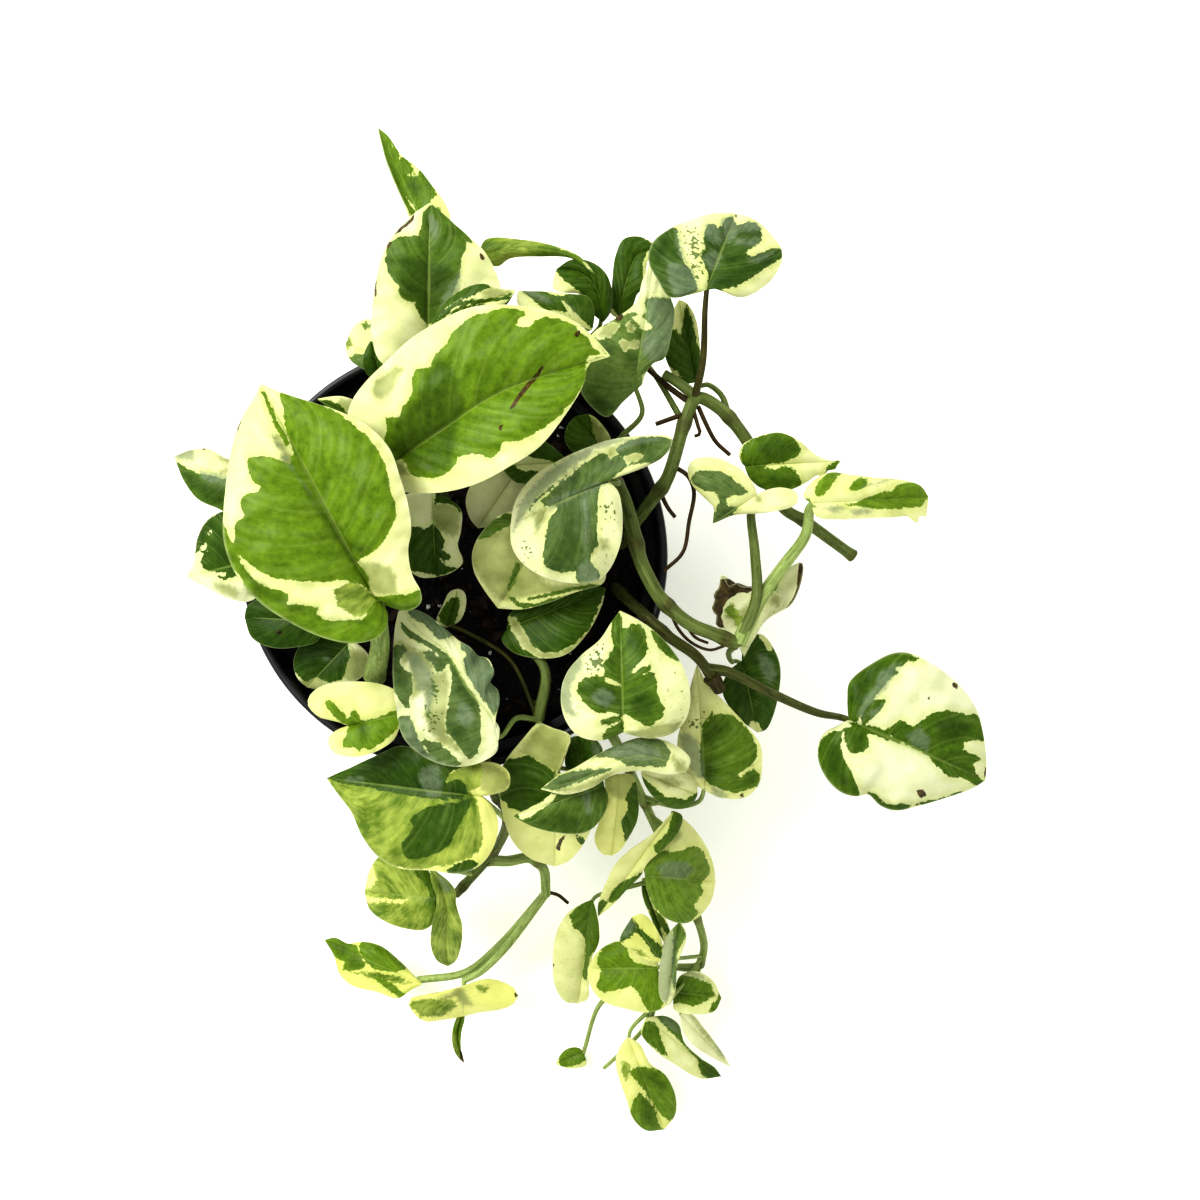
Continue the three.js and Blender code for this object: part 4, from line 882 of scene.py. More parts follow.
add_leaf(
    base="623,732,136", tip="620,611,132", at=0.4, via="640,668,124 628,712,128", arch=5, lift=[-3, -3],
    bulge=[3, 3],
    left="600,740 578,735 565,718 561,695 566,675 580,657 600,640 612,622",
    right="650,738 672,733 686,718 690,695 684,670 672,650 655,632 636,619",
    deep=0.6, silver=0.08, warm=0.25, freckled=0.6,
    green="""612,622 618,612 622,617 624,630 632,624 641,625 646,636 648,650 645,658 640,663 634,672 640,668
    650,665 650,670 642,675 654,673 657,680 656,690 660,700 664,708 663,716 655,722 652,727 645,725
    640,722 632,718 626,714 622,716 612,711 600,714 590,708 582,700 577,690 578,683 585,677 595,676
    603,677 605,670 603,665 610,655 614,645 611,634; 599,720 612,717 621,715 622,720 610,724 601,725;
    602,736 607,728 618,723 624,721 624,738 612,744 604,742; 650,630 662,633 673,641 680,652 681,662
    672,659 664,654 657,645""",
    dark="""580,688 590,682 605,682 616,690 616,702 604,709 590,702; 630,630 640,632 644,648 636,655
    628,645; 628,700 645,690 655,702 650,716 636,715; 607,655 614,650 616,664 610,668; 656,637 664,642
    672,652 664,650""",
    # the second silvery patch here is a painted sheen
    grey="""559,690 564,672 574,659 583,654 582,668 575,678 571,690 573,705 577,718 566,713 559,700; 592,694
    602,688 612,692 616,700 606,707 596,704""",
    cream="600,673 610,679 622,684 620,687 607,682; 633,675 640,667 652,664 650,661 640,663 632,671",
    tan="628,732 645,728 660,724 682,720 676,733 652,739 632,737",
    specks="588,656 594,648 602,647 610,654 608,668 600,678 590,676 586,666",
)
print("leaves here:", len(VINES[-1]["leaves"]))

# %% [markdown]
# A vine with many small leaves that hangs over the rim and trails down to the table.

# %% The vine at the front right
add_vine(
    "front_right", radius=1.9, planted="578,676",
    stem="""585,690,112 600,714,121 618,746,114 634,780,96 646,806,84 661,838,68 680,875,56 695,912,46
    704,946,38 700,966,34""",
    twigs=[
        (1.5, "701,964,34 690,968,35 668,968,38 662,985,36 655,1004,30"),
        (1.1, "662,985,36 630,990,30 602,1002,22 583,1054,6"),
        (1, "655,1004,30 650,1020,24 627,1047,14 604,1068,8"),
    ],
)
add_leaf(
    base="686,772,131", tip="541,789,125", at=0.3, via="640,745,118 676,766,123", arch=4, lift=[-3, -3],
    bulge=[1, 1], midrib="668,762 640,756 612,763 585,778",
    left="668,774 640,770 612,775 590,788 565,794",
    right="690,760 682,750 665,741 640,738 618,745 597,755 575,768 558,776",
    deep=0.6, silver=0.85, warm=0.2,
    green="""592,759 610,746 631,738 654,737 666,745 671,754 665,766 644,766 626,766 620,760 606,757;
    542,788 561,775 587,769 613,768 605,773 579,782 556,790""",
    dark="555,782 575,774 596,770 604,771 580,779 560,788; 560,779 575,768 590,760 585,765 572,772",
    grey="604,752 622,744 640,741 655,747 662,757 648,760 630,758 612,755; 630,748 650,746 652,752 632,754",
    tan="558,790 580,784 604,774 612,772 600,784 580,792; 672,756 684,762 688,772 676,772",
)
add_leaf(
    base="697,795,104", tip="641,772,111", at=0.45, via="670,800,94", arch=2, bulge=[2, 2], lift=[-2, 1],
    left="690,806 672,808 655,798 645,784",
    right="695,780 675,768 655,765",
    deep=0.8, green="637,770 649,782 665,796 686,799 699,791 700,803 680,810 662,808 647,795 639,779",
    tan="655,778 672,776 684,784 668,788",
)
add_leaf(
    base="620,774,106", tip="612,855,84", at=0.42, arch=3, lift=[-2, -2], bulge=[1, 2],
    left="632,775 638,795 637,820 628,838 620,850",
    right="606,778 607,800 600,820 595,840 602,853",
    deep=0.8, warm=0.8,
    green="633,783 638,780 642,790 641,810 638,828 632,840 625,840 623,830 621,820 628,810 625,797",
    tan="603,778 610,770 636,772 634,784 627,794 622,799 614,797 606,790",
)
add_leaf(
    base="645,876,80", tip="715,882,60", at=0.6, via="660,870,70", arch=4, lift=[-3, -3], bulge=[3, 3],
    left="645,860 655,848 668,836 680,818 690,825 705,845 713,865",
    right="648,892 655,908 668,919 685,923 700,915 711,900",
    deep=0.0, silver=0.2, warm=0.6,
    green="""645,866 654,856 662,850 672,852 682,850 688,847 695,845 702,850 708,862 710,870 706,878 700,885
    703,892 698,900 694,905 698,912 692,920 680,926 664,918 654,906 648,895 644,885 642,875""",
    tan="646,862 654,852 664,848 658,858 648,868; 668,832 678,828 682,838 672,842",
    # this silvery patch is a painted sheen
    grey="656,866 672,860 688,862 694,870 684,878 664,880",
)
add_leaf(
    base="674,811,94", tip="598,916,62", at=0.5, via="672,830,82", arch=3, lift=[-3, 2],
    left="682,816 678,832 664,848 648,862 640,876 628,888 612,905",
    right="664,822 650,836 630,850 615,865 605,885 598,905",
    deep=0.6, warm=0.6,
    green="""673,809 686,812 686,828 676,840 664,850 656,853 653,846 662,838 669,828; 643,872 632,877
    619,883 611,892 608,903 598,916 592,914 594,904 602,899 612,903 620,897 632,888 642,880""",
    dark="""632,868 646,867 646,875 635,874; 596,904 600,902 601,912 597,914; 676,814 681,816 680,826
    672,836""",
)
add_leaf(
    base="658,968,50", tip="588,968,45", arch=2, bulge=[2, 2], lift=[-2, -2],
    left="660,988 668,1003 650,1012 625,1008 602,1000 590,984",
    right="655,950 635,940 615,942 598,952",
    deep=0.0, warm=0.65,
    green="""598,956 604,946 615,942 623,942 628,948 629,955 635,962 645,965 657,966 661,980 662,990
    664,1000 660,1012 648,1012 642,1001 639,992 631,986 625,988 612,991 602,992 596,986 600,978 601,970
    597,963""",
)
add_leaf(
    base="592,900,60", tip="578,1003,20", at=0.7, via="640,884,62", arch=3, lift=[-2, -3], bulge=[1, 2],
    left="597,915 599,940 592,958 589,980 588,998",
    right="580,905 566,915 556,935 553,960 555,985 565,1001",
    deep=0.5, warm=0.5, freckled=0.3,
    green="""570,915 577,907 584,902 591,898 597,902 600,918 599,932 601,942 595,951 590,956 589,966 587,980
    582,976 585,960 586,941 580,931 573,927""",
    brown="547,961 552,959 555,966 550,969; 541,985 545,984 545,989",
)
add_leaf(
    base="628,1037,30", tip="664,1129,12", via="650,1010,32", arch=3, lift=[-2, -3], bulge=[2, 2],
    left="640,1045 650,1064 665,1075 675,1095 675,1114",
    right="621,1046 616,1060 620,1080 627,1100 633,1118 646,1130",
    deep=0.12, warm=0.75,
    green="""629,1072 635,1067 645,1066 655,1069 665,1074 672,1084 677,1095 679,1108 675,1117 669,1121
    662,1115 656,1108 661,1120 663,1130 655,1133 645,1131 635,1124 630,1112 633,1102 638,1092 640,1085
    634,1078""",
    dark="640,1072 655,1073 668,1085 662,1092 650,1082; 640,1095 648,1098 655,1115 655,1127 642,1120",
    lime="622,1060 629,1063 631,1075 626,1080 621,1070",
    cream="629,1074 640,1086 656,1106 654,1108 638,1090 628,1078; 655,1108 662,1120 665,1131 657,1122",
)
add_leaf(
    base="646,1018,34", tip="721,1076,10", arch=2, lift=[-1, -1],
    left="665,1016 678,1024 684,1042 700,1058 714,1067",
    right="641,1032 655,1050 675,1064 700,1078",
    deep=0.5, warm=0.35,
    green="""641,1032 645,1022 655,1021 659,1030 661,1040 668,1056 661,1054 651,1045 643,1039; 655,1016
    670,1012 680,1018 681,1034 688,1043 698,1053 708,1060 718,1066 724,1077 714,1081 704,1077 699,1070
    697,1060 690,1051 680,1041 669,1030""",
    grey="659,1017 670,1015 678,1020 679,1034 672,1030 664,1024",
    dark="698,1059 706,1063 716,1068 724,1076 714,1081 704,1077",
)
add_leaf(
    base="680,1014,36", tip="731,1067,12", arch=2, lift=[-1, -1],
    left="691,1014 705,1030 719,1048",
    right="683,1030 694,1045 714,1058",
    deep=0.6, warm=0.2, tan="690,1013 700,1024 713,1039 724,1050 724,1058 715,1048 703,1035 692,1020",
    grey="716,1045 726,1048 730,1058 721,1054",
)
add_leaf(
    base="705,790,104", tip="697,665,111", at=0.42, via="675,806,90 698,802,96", arch=3, lift=[-2, -3],
    bulge=[2, 3],
    left="690,780 680,765 678,740 684,715 690,690",
    right="720,797 745,797 758,785 762,765 760,745 748,728 730,708 708,685",
    deep=0.4, silver=0.08, warm=0.5, freckled=0.4,
    green="""701,735 705,723 712,716 722,713 732,716 742,723 750,733 756,745 758,755 752,765 742,771 736,776
    742,777 748,771 754,768 760,775 758,786 746,789 738,793 728,791 718,788 708,782 702,775 699,755;
    701,728 708,716 712,711 713,715 706,724 703,731""",
    dark="""702,766 711,757 716,770 712,782 703,780; 704,735 714,725 730,722 722,732 710,742; 745,772
    756,772 755,782 745,784""",
    grey="""680,733 690,734 699,742 702,758 706,778 698,777 690,769 684,756 681,745; 711,786 722,789 728,796
    718,798 712,792""",
    brown="739,794 743,790 744,796 741,800", specks="684,722 694,716 704,714 703,728 694,732 686,730",
)
add_leaf(
    small=True, base="674,992,44", tip="721,998,36", at=0.97, arch=1,
    left="680,976 695,971 712,980",
    right="675,1010 695,1014 714,1011",
    deep=0.35, warm=0.4,
    green="""672,980 680,975 690,976 700,979 711,984 715,995 707,1000 700,1004 692,1007 686,1004 680,1002
    672,1005; 711,1004 717,1000 719,990 724,1002 718,1012 708,1013""",
    dark="673,982 682,980 688,995 680,998 673,1000", grey="680,975 690,971 700,974 711,982 700,979 690,976",
)
add_leaf(
    small=True, base="661,962,56", tip="632,917,64", at=0.97,
    left="648,960 632,950 620,941",
    right="662,944 652,922 642,914",
    deep=0.85, warm=0.9,
    green="""633,918 640,927 650,937 661,945 663,960 655,956 647,945 639,934; 618,940 631,916 638,930
    630,937 622,942""",
    grey="619,939 631,918 636,928 628,936", lime="632,948 642,950 650,957 640,955",
)
add_leaf(
    small=True, base="667,1006,52", tip="680,921,58", at=0.99, lift=[0, 2],
    left="660,996 660,965 666,938",
    right="674,995 677,965 686,935",
    deep=0.2, silver=0.4, green="673,925 680,921 686,935 681,945 677,955 677,975 674,990 672,975",
    grey="655,940 668,925 676,935 676,965 672,995 664,1005 655,985",
)
add_leaf(
    small=True, base="642,878,58", tip="664,943,44", at=0.72,
    left="650,893 662,912 670,934",
    right="643,896 652,920",
    deep=0.6, warm=0.6,
    green="""640,880 644,882 650,900 658,920 664,942 656,930 648,910 642,895; 655,910 662,915 670,930
    668,936 660,925""",
)
add_leaf(
    small=True, base="583,1052,7", tip="556,1064,4", twig=1, arch=1, lift=[0, 0],
    left="586,1064 570,1068",
    right="578,1048 567,1049 560,1056",
    deep=0.25, warm=0.6, green="558,1040 590,1040 590,1058 575,1066 560,1066",
)
print("leaves here:", len(VINES[-1]["leaves"]))

# %% [markdown]
# A short vine, mostly hidden, whose leaves lie over the rim at the front.

# %% The vine at the front
add_vine(
    "front", radius=1.5, planted="536,704", stem="536,712,112 541,730,118.4 547,750,118.6 560,780,106",
)
add_leaf(
    base="498,741,138", tip="399,611,134", at=0.3, via="517,718,124", arch=3,
    midrib="492,718 468,688 445,650 422,633", lift=[-6, -3], bulge=[3, 1], wave=[2.4, 5, 0],
    left="496,752 478,763 450,766 425,757 404,738 396,705 393,670 394,642 396,624",
    right="""499,728 493,717 499,704 498,691 490,682 494,672 488,659 478,656 470,647 458,640 446,630 432,618
    415,610""",
    deep=0.85, silver=0.6, warm=0.0, freckled=0.5,
    green="""400,620 410,630 424,639 440,649 450,657 457,668 447,664 436,652 424,645 410,638 403,630;
    423,650 432,652 440,658 447,664 444,670 436,672 433,664 426,658; 450,664 457,668 466,684 476,697
    480,710 480,725 482,740 478,752 470,761 463,752 455,740 447,733 446,722 448,705 450,690 452,680;
    396,645 404,645 408,650 402,656 400,664 406,670 412,674 413,690 409,700 411,710 405,708 396,694
    385,675 386,655; 420,735 432,742 440,742 450,752 462,764 452,768 440,764 428,752; 460,642 472,645
    475,652 482,654 489,662 496,672 494,680 502,690 503,702 494,715 488,707 480,698 472,685 464,668
    463,660 467,654 460,648; 398,716 410,716 415,728 420,742 428,752 442,762 458,770 445,772 430,768
    415,756 400,736; 404,604 420,606 432,614 439,625 452,627 454,636 440,641 436,638 430,630 420,622
    410,617""",
    dark="""424,651 438,656 445,664 440,669 430,662; 456,668 466,684 476,700 478,715 466,704 456,690;
    448,720 462,724 468,740 460,744 450,734; 388,655 400,666 408,678 406,694 398,684""",
    grey="""460,642 472,645 475,652 482,654 489,662 496,672 494,680 502,690 503,702 494,715 488,707 480,698
    472,685 464,668 463,660 467,654 460,648; 400,718 410,716 415,728 420,742 428,752 442,762 458,768
    445,768 430,764 415,752 402,736; 406,606 420,608 432,616 437,626 450,628 454,638 440,641 436,638
    430,630 420,622 410,617; 460,700 470,706 474,722 464,728 456,716; 404,650 420,656 430,668 434,690
    430,712 424,706 426,690 416,690 414,674""",
    tan="""400,642 410,645 418,650 424,652 432,662 436,672 446,672 450,684 448,700 446,720 447,733 456,742
    464,753 458,752 440,742 430,732 424,715 428,700 424,690 412,700 410,690 413,675 410,662 402,664
    400,655""",
    lime="482,699 490,697 497,700 495,708 488,706",
    cream="""400,614 415,625 432,633 440,640 452,636 462,642 459,650 465,656 462,662 466,672 474,686 483,700
    492,712 496,735 502,740 490,757 478,762 473,757 482,748 480,720 481,705 470,688 458,668 450,655
    440,648 425,638 412,628 400,618""",
    specks="428,676 436,674 440,692 436,702 426,698; 424,708 438,712 438,728 426,728",
)
add_leaf(
    base="556,774,122", tip="555,866,90", at=0.7, via="556,770,114", arch=4, lift=[0, 5], bulge=[1.5, 0],
    left="574,774 588,784 594,800 591,828 581,847 568,861",
    right="""561,765 566,750 571,737 568,733 553,728 540,723 535,725 526,735 503,765 499,785 503,815 512,840
    530,858""",
    deep=0.9, warm=0.65,
    green="""498,770 504,760 515,758 528,755 540,762 556,772 560,785 552,798 540,808 525,812 510,808 500,797
    501,785; 574,832 583,837 588,845 580,844""",
    tan="518,752 530,735 540,722 560,728 574,736 566,752 562,766 558,776 548,769 540,764 527,756",
    brown="567,833 562,842 560,851 556,848 560,838",
)
add_leaf(
    base="604,786,119", tip="514,816,119", arch=2, lift=[-3, 1], bulge=[1.5, 1],
    via="580,802,98 603,798,104",
    left="608,800 600,820 585,832 555,832 530,825",
    right="600,775 582,772 562,784 545,799 528,809",
    silver=0.2, green="505,812 525,800 560,765 612,768 615,800 600,822 585,836 560,836 530,828 510,818",
    cream="518,814 527,809 535,806 545,800 552,792 557,796 549,804 540,810 530,817 520,819",
    grey="582,795 590,790 592,812 586,816; 564,786 574,782 580,790 570,796",
    dark="535,822 560,812 585,820 575,830 550,829; 596,778 606,782 607,800 600,800",
)
add_leaf(
    base="508,628,114", tip="606,588,112", at=0.3, via="545,670,116 525,645,112", arch=3, lift=[0, 2],
    stalk=2.2,
    left="510,614 535,604 570,594 592,586",
    right="502,640 513,652 535,658 565,655 588,632 601,607",
    deep=0.9, green="495,600 612,572 616,600 592,656 560,672 515,664 490,645",
    tan="""508,616 516,618 524,630 532,644 541,652 558,652 574,644 588,630 598,612 606,594 612,600 600,628
    582,648 560,660 538,658 524,646 514,632""",
    cream="""507,614 516,618 524,630 532,644 541,652 558,652 574,644 588,630 597,612 603,596 612,600 600,628
    582,648 560,660 538,658 522,648 512,632""",
)
add_leaf(
    small=True, base="447,627,115", tip="458,589,117", at=0.3, via="510,660,113 470,634,113", arch=1,
    left="437,622 443,605 450,592",
    right="460,620 466,604 464,592",
    warm=0.2, green="446,604 451,597 459,597 460,606 457,617 454,624 449,627 441,622 439,616 443,608",
)
add_leaf(
    small=True, base="585,774,110", tip="578,736,114", at=0.8, arch=1,
    left="567,768 566,750 571,738",
    right="600,770 602,748 590,736",
    deep=0.9, green="560,735 580,728 606,738 608,770 590,780 565,772",
    grey="592,742 600,744 601,756 594,756",
)
print("leaves here:", len(VINES[-1]["leaves"]))

# %% [markdown]
# A pale young vine that trails down to the table, with yellow-green leaves.

# %% The vine at the front left
add_vine(
    "front_left", radius=2.2, planted="470,698",
    stem="474,712,114 480,742,120 486,768,119 494,792,108 508,815,86 500,842,70 485,862,61 456,894,52",
    twigs=[
        (2.3, "487,860,62 508,861,56 530,858,51 543,868,47 546,895,41"),
        (0.8, "546,892,41 558,895,38 568,903,36"),
        (1.8, "546,893,41 500,945,34 466,972,30 418,980,24"),
        (1.8, "546,893,41 505,948,40 480,972,36 464,980,33"),
    ],
)
add_leaf(
    base="480,796,123", tip="327,778,109", at=0.6, arch=5, lift=[-6, 3], bulge=[3, 2],
    left="490,804 498,822 494,845 480,865 460,873 430,870 400,868 378,856 362,835 352,812 340,796",
    right="492,794 508,788 509,773 495,763 465,763 440,760 420,750 400,746 378,755 350,768",
    deep=0.95, silver=0.05, warm=0.85,
    green="""325,777 345,767 362,760 380,750 400,744 412,744 425,753 440,761 456,765 462,767 450,773 446,780
    448,790 450,802 440,799 420,797 400,794 380,790 360,786 340,783; 402,842 408,835 414,826 410,820
    418,812 428,807 440,804 455,803 474,797 469,808 462,820 456,832 450,845 440,850 430,855 418,859
    408,859 402,850; 446,870 458,862 470,859 480,862 472,871 460,877 450,876; 447,783 456,779 466,784
    468,792 462,800 449,798""",
    dark="""449,784 460,780 468,786 468,799 462,804 452,804 447,792; 345,776 380,758 412,752 440,770 446,790
    420,792 380,786""",
    grey="421,770 430,765 439,768 443,780 441,795 432,798 424,790 419,780; 345,778 362,776 364,782 348,782",
    tan="479,764 492,765 506,771 512,783 505,792 494,793 484,792 478,785 480,775",
    lime="""324,774 345,774 380,780 420,788 446,796 446,786 446,776 458,768 472,764 482,763 482,775 480,786
    470,790 476,800 480,820 483,835 480,850 470,858 450,864 420,869 400,868 380,860 364,846 352,826
    340,800""",
)
add_leaf(
    base="436,898,62", tip="365,892,46", arch=4, lift=[-3, -2], bulge=[2, 2],
    left="436,918 425,929 405,928 385,921 370,909",
    right="432,882 424,864 405,857 382,855 370,870",
    deep=0.6, warm=0.9, lime="355,850 445,850 445,935 355,935",
    green="""412,866 428,866 432,880 440,893 438,906 428,905 430,893 424,882 416,876; 366,905 374,916
    386,924 402,930 420,934 434,924 441,915 438,930 415,940 390,934 366,920""",
    dark="378,872 398,868 402,880 386,884; 384,908 404,902 418,908 412,920 394,918",
    cream="364,896 385,899 400,900 413,899 411,902 395,903 368,902; 362,872 372,864 378,880 368,890",
)
add_leaf(
    base="430,868,74", tip="448,966,42", at=0.9, arch=3, lift=[-1, -2],
    midrib="438,882 446,904 447,925 446,946",
    left="445,878 455,890 456,905 462,925 461,945 456,960",
    right="431,880 437,900 432,925 431,945 437,960",
    deep=0.05, warm=0.6, lime="420,860 475,860 475,975 420,975",
    grey="436,872 446,878 452,890 446,892 440,884",
)
add_leaf(
    base="422,984,26", tip="325,940,20", twig=2, arch=3, lift=[-3, -3], bulge=[1, 2],
    left="410,990 398,998 378,992 352,985 340,974 334,955",
    right="412,974 398,960 380,946 362,942 348,944 335,938",
    deep=0.0, warm=1.0,
    green="""322,941 330,936 340,938 350,944 357,945 361,955 366,966 358,970 350,971 343,969 345,962 337,959
    329,953; 359,947 364,941 376,942 386,949 396,957 407,969 396,972 384,971 374,969 363,958; 372,975
    380,977 392,983 403,992 410,998 400,998 389,990 377,981""",
    dark="330,942 345,945 352,955 342,955; 348,958 356,954 362,966 350,968",
    lime="350,972 375,972 398,976 412,982 400,984 375,978",
)
add_leaf(
    base="464,986,36", tip="463,1016,16", twig=3, arch=3, lift=[-4, -4], bulge=[1, 1],
    left="485,979 503,982 518,993 513,1004 495,1010 478,1012",
    right="445,991 425,995 408,1000 414,1013 424,1021 445,1019",
    deep=0.3, warm=1.0, tan="438,998 450,993 458,985 464,990 470,1000 472,1005 462,1005 455,996 446,1001",
    lime="405,1000 430,998 452,1000 458,1006 440,1016 420,1016; 476,984 490,986 485,992 476,990",
    brown="498,981 504,983 502,986; 514,990 519,996 515,1000",
)
add_leaf(
    small=True, base="464,1008,14", tip="464,1063,6", twig=3, via="464,992,24", midrib="458,1036",
    left="464,1020 461,1032 461,1048",
    right="456,1020 452,1038 456,1054",
    deep=0.4, warm=1.0, lime="450,1010 470,1010 470,1066 450,1066",
    green="463,1012 467,1014 463,1035 463,1055 460,1050 459,1030",
    brown="460,1050 468,1052 468,1068 459,1062",
)
print("leaves here:", len(VINES[-1]["leaves"]))

# %% [markdown]
# Most of this vine is hidden, and its leaves show in the shade below the large ones. Their `dark`
# patches are mostly that shade, painted into the green.

# %% The vine at the left
add_vine(
    "left", radius=1.8, planted="335,560", stem="328,558,110 316,552,120",
)
add_leaf(
    base="240,485,130", tip="175,456,122", arch=2, bulge=[1, -1], lift=[-1, 2],
    left="234,513 215,507 198,499 185,482 178,466",
    right="240,463 225,458 208,449 190,450",
    silver=0.1,
    green="175,460 188,469 200,474 215,476 228,480 245,484 245,516 225,514 208,507 196,499 186,488 176,474",
    grey="172,458 178,451 193,449 195,455 194,462 184,460; 200,471 215,473 230,477 227,483 212,483 202,478",
    brown="200,446 208,444 210,448 203,450", dark="182,470 200,482 235,492 238,510 210,502 190,486",
    tan="216,456 231,457 231,461 222,461; 221,469 230,469 230,474 221,474",
)
add_leaf(
    base="256,560,126", tip="187,577,114", arch=2, bulge=[1, 2], lift=[-3, -2],
    left="262,590 250,601 228,598 208,588",
    right="250,525 228,511 208,520 198,538 194,562",
    deep=0.95, warm=0.05,
    green="""196,553 197,540 201,528 207,520 216,514 224,509 262,509 262,578 240,576 232,577 226,580 221,578
    214,574 205,571 201,562 204,554 199,550""",
    lime="203,560 214,560 224,570 228,574 212,573; 209,540 214,536 216,546 211,550",
    cream="""208,535 210,529 213,529 211,537; 200,548 206,543 208,547 203,552; 205,549 209,549 208,553;
    202,569 215,572 226,573 227,576 212,576; 214,520 216,518 217,523 215,524""",
    tan="212,582 230,585 240,592 236,598 222,594; 246,585 258,584 256,596 246,596",
    dark="215,545 222,532 228,550 240,566 232,572 220,558; 200,532 210,520 214,522 206,536 201,546",
)
add_leaf(
    base="322,622,122", tip="245,617,120", arch=3, bulge=[1, 1], lift=[-2, -1],
    left="318,640 295,647 270,647 252,637",
    right="312,600 285,594 262,598 248,606",
    deep=1.0, green="235,590 330,590 330,655 235,655", brown="277,630 282,630 282,634 277,634",
    dark="240,600 270,600 300,615 310,640 280,650 250,640",
)
add_leaf(
    base="352,640,112", tip="307,687,110", arch=2, bulge=[1, 1], lift=[-1, -1],
    left="368,655 366,672 350,684 325,690",
    right="325,632 303,642 294,660 297,677",
    deep=1.0, warm=0.1,
    green="290,648 310,632 330,628 346,638 350,655 346,668 342,679 330,683 318,677 305,681 294,672 288,660",
    # this small silvery spot is a painted highlight
    grey="324,658 329,656 330,660 326,662",
    tan="""344,655 352,649 364,652 371,662 366,675 352,683 343,678 341,665; 294,684 305,678 315,672 326,678
    330,686 315,692 300,692""",
    dark="292,652 320,640 340,645 342,668 320,680 298,668",
)
add_leaf(
    small=True, base="356,418,122", tip="318,399,119", arch=1,
    left="345,416 330,408",
    right="358,404 345,397 330,397",
    deep=0.8, green="319,400 330,400 341,405 352,418 342,419 329,411",
    tan="340,398 353,399 360,412 354,420 346,411 338,403",
)
print("leaves here:", len(VINES[-1]["leaves"]))

# %% [markdown]
# A shoot that rises out of the middle and bears the two brightest leaves, large and nearly flat.

# %% The shoot of the crown
add_vine(
    "crown", radius=2, planted="372,688", stem="373,684,109 375,676,118",
)
add_leaf(
    base="374,598,154", tip="261,384,162", via="380,640,142", stalk=4.2, arch=6, lift=[2, 3], bulge=[4, 4],
    left="""386,610 387,624 378,637 355,643 325,638 290,622 260,602 235,572 224,540 224,510 227,480 234,440
    244,415 256,395""",
    right="""392,607 410,610 421,602 420,590 412,575 408,550 411,530 408,505 400,478 390,450 370,428 340,412
    310,402 282,393""",
    deep=0.0, warm=0.4,
    green="""249,457 262,456 276,459 290,463 293,450 288,436 285,420 283,406 279,393 292,393 303,397 320,404
    338,413 352,424 366,435 377,449 385,464 389,480 391,492 396,503 395,517 390,530 384,541 374,551
    366,556 358,561 364,570 369,577 370,592 360,584 345,580 325,582 305,581 290,580 275,579 258,570
    245,560 236,551 233,543 236,537 234,528 238,521 245,517 241,509 240,501 246,494 256,493 262,487
    254,482 250,474 247,465; 243,578 256,583 270,588 280,590 288,594 288,601 284,605 296,604 308,606
    318,608 316,614 322,618 330,621 345,620 360,620 366,616 368,610 374,603 381,599 391,612 391,628
    382,642 360,648 335,647 305,640 280,626 258,608 246,592; 221,515 228,533 234,548 240,560 248,572
    258,583 250,588 236,572 224,556 218,535; 370,596 384,596 395,594 410,594 420,590 426,600 420,610
    405,615 393,611 382,603; 261,391 266,394 276,418 290,445 286,447 272,420""",
    # the dark patches along the midrib and the lower edge are painted shade
    dark="""300,478 330,520 362,566 350,560 318,515; 334,520 350,540 372,546 362,555 348,548; 374,600
    388,600 402,606 416,604 408,611 394,611 384,606; 362,568 370,575 369,586 362,578; 240,560 262,586
    300,606 360,618 366,624 300,612 256,592""",
    grey="272,434 280,446 290,462 300,480 311,494 306,490 297,475 288,466 280,460 286,455 276,446",
    lime="333,590 352,582 371,592 379,600 374,611 355,617 338,607",
    tan="""268,436 278,436 292,456 302,474 300,478 288,468 278,460 284,454 276,446; 360,562 376,562 390,566
    396,578 398,594 384,596 372,590 364,576""",
    brown="234,430 238,420 242,420 238,432",
)
add_leaf(
    base="349,726,130", tip="411,712,128", at=0.5, arch=3, lift=[1, 1], bulge=[1, 1],
    left="335,720 320,717 308,705 310,695 322,686 345,682 375,683 398,692",
    right="336,731 328,740 333,752 350,757 372,753 393,740 402,722",
    deep=0.0, warm=0.6,
    green="""344,722 352,715 357,717 365,721 380,716 392,711 402,709 400,722 393,733 384,741 376,746 368,751
    365,748 360,751 352,747 345,749 343,742 347,733 349,726; 325,703 330,700 339,708 348,718 352,724
    343,723 335,717 327,709; 350,713 354,708 361,718 352,723""",
    dark="358,725 366,722 368,735 362,742",
)
print("leaves here:", len(VINES[-1]["leaves"]))

# %% [markdown]
# The last shoot bears the largest leaf of all, and small ones that stand in the gaps over the soil.

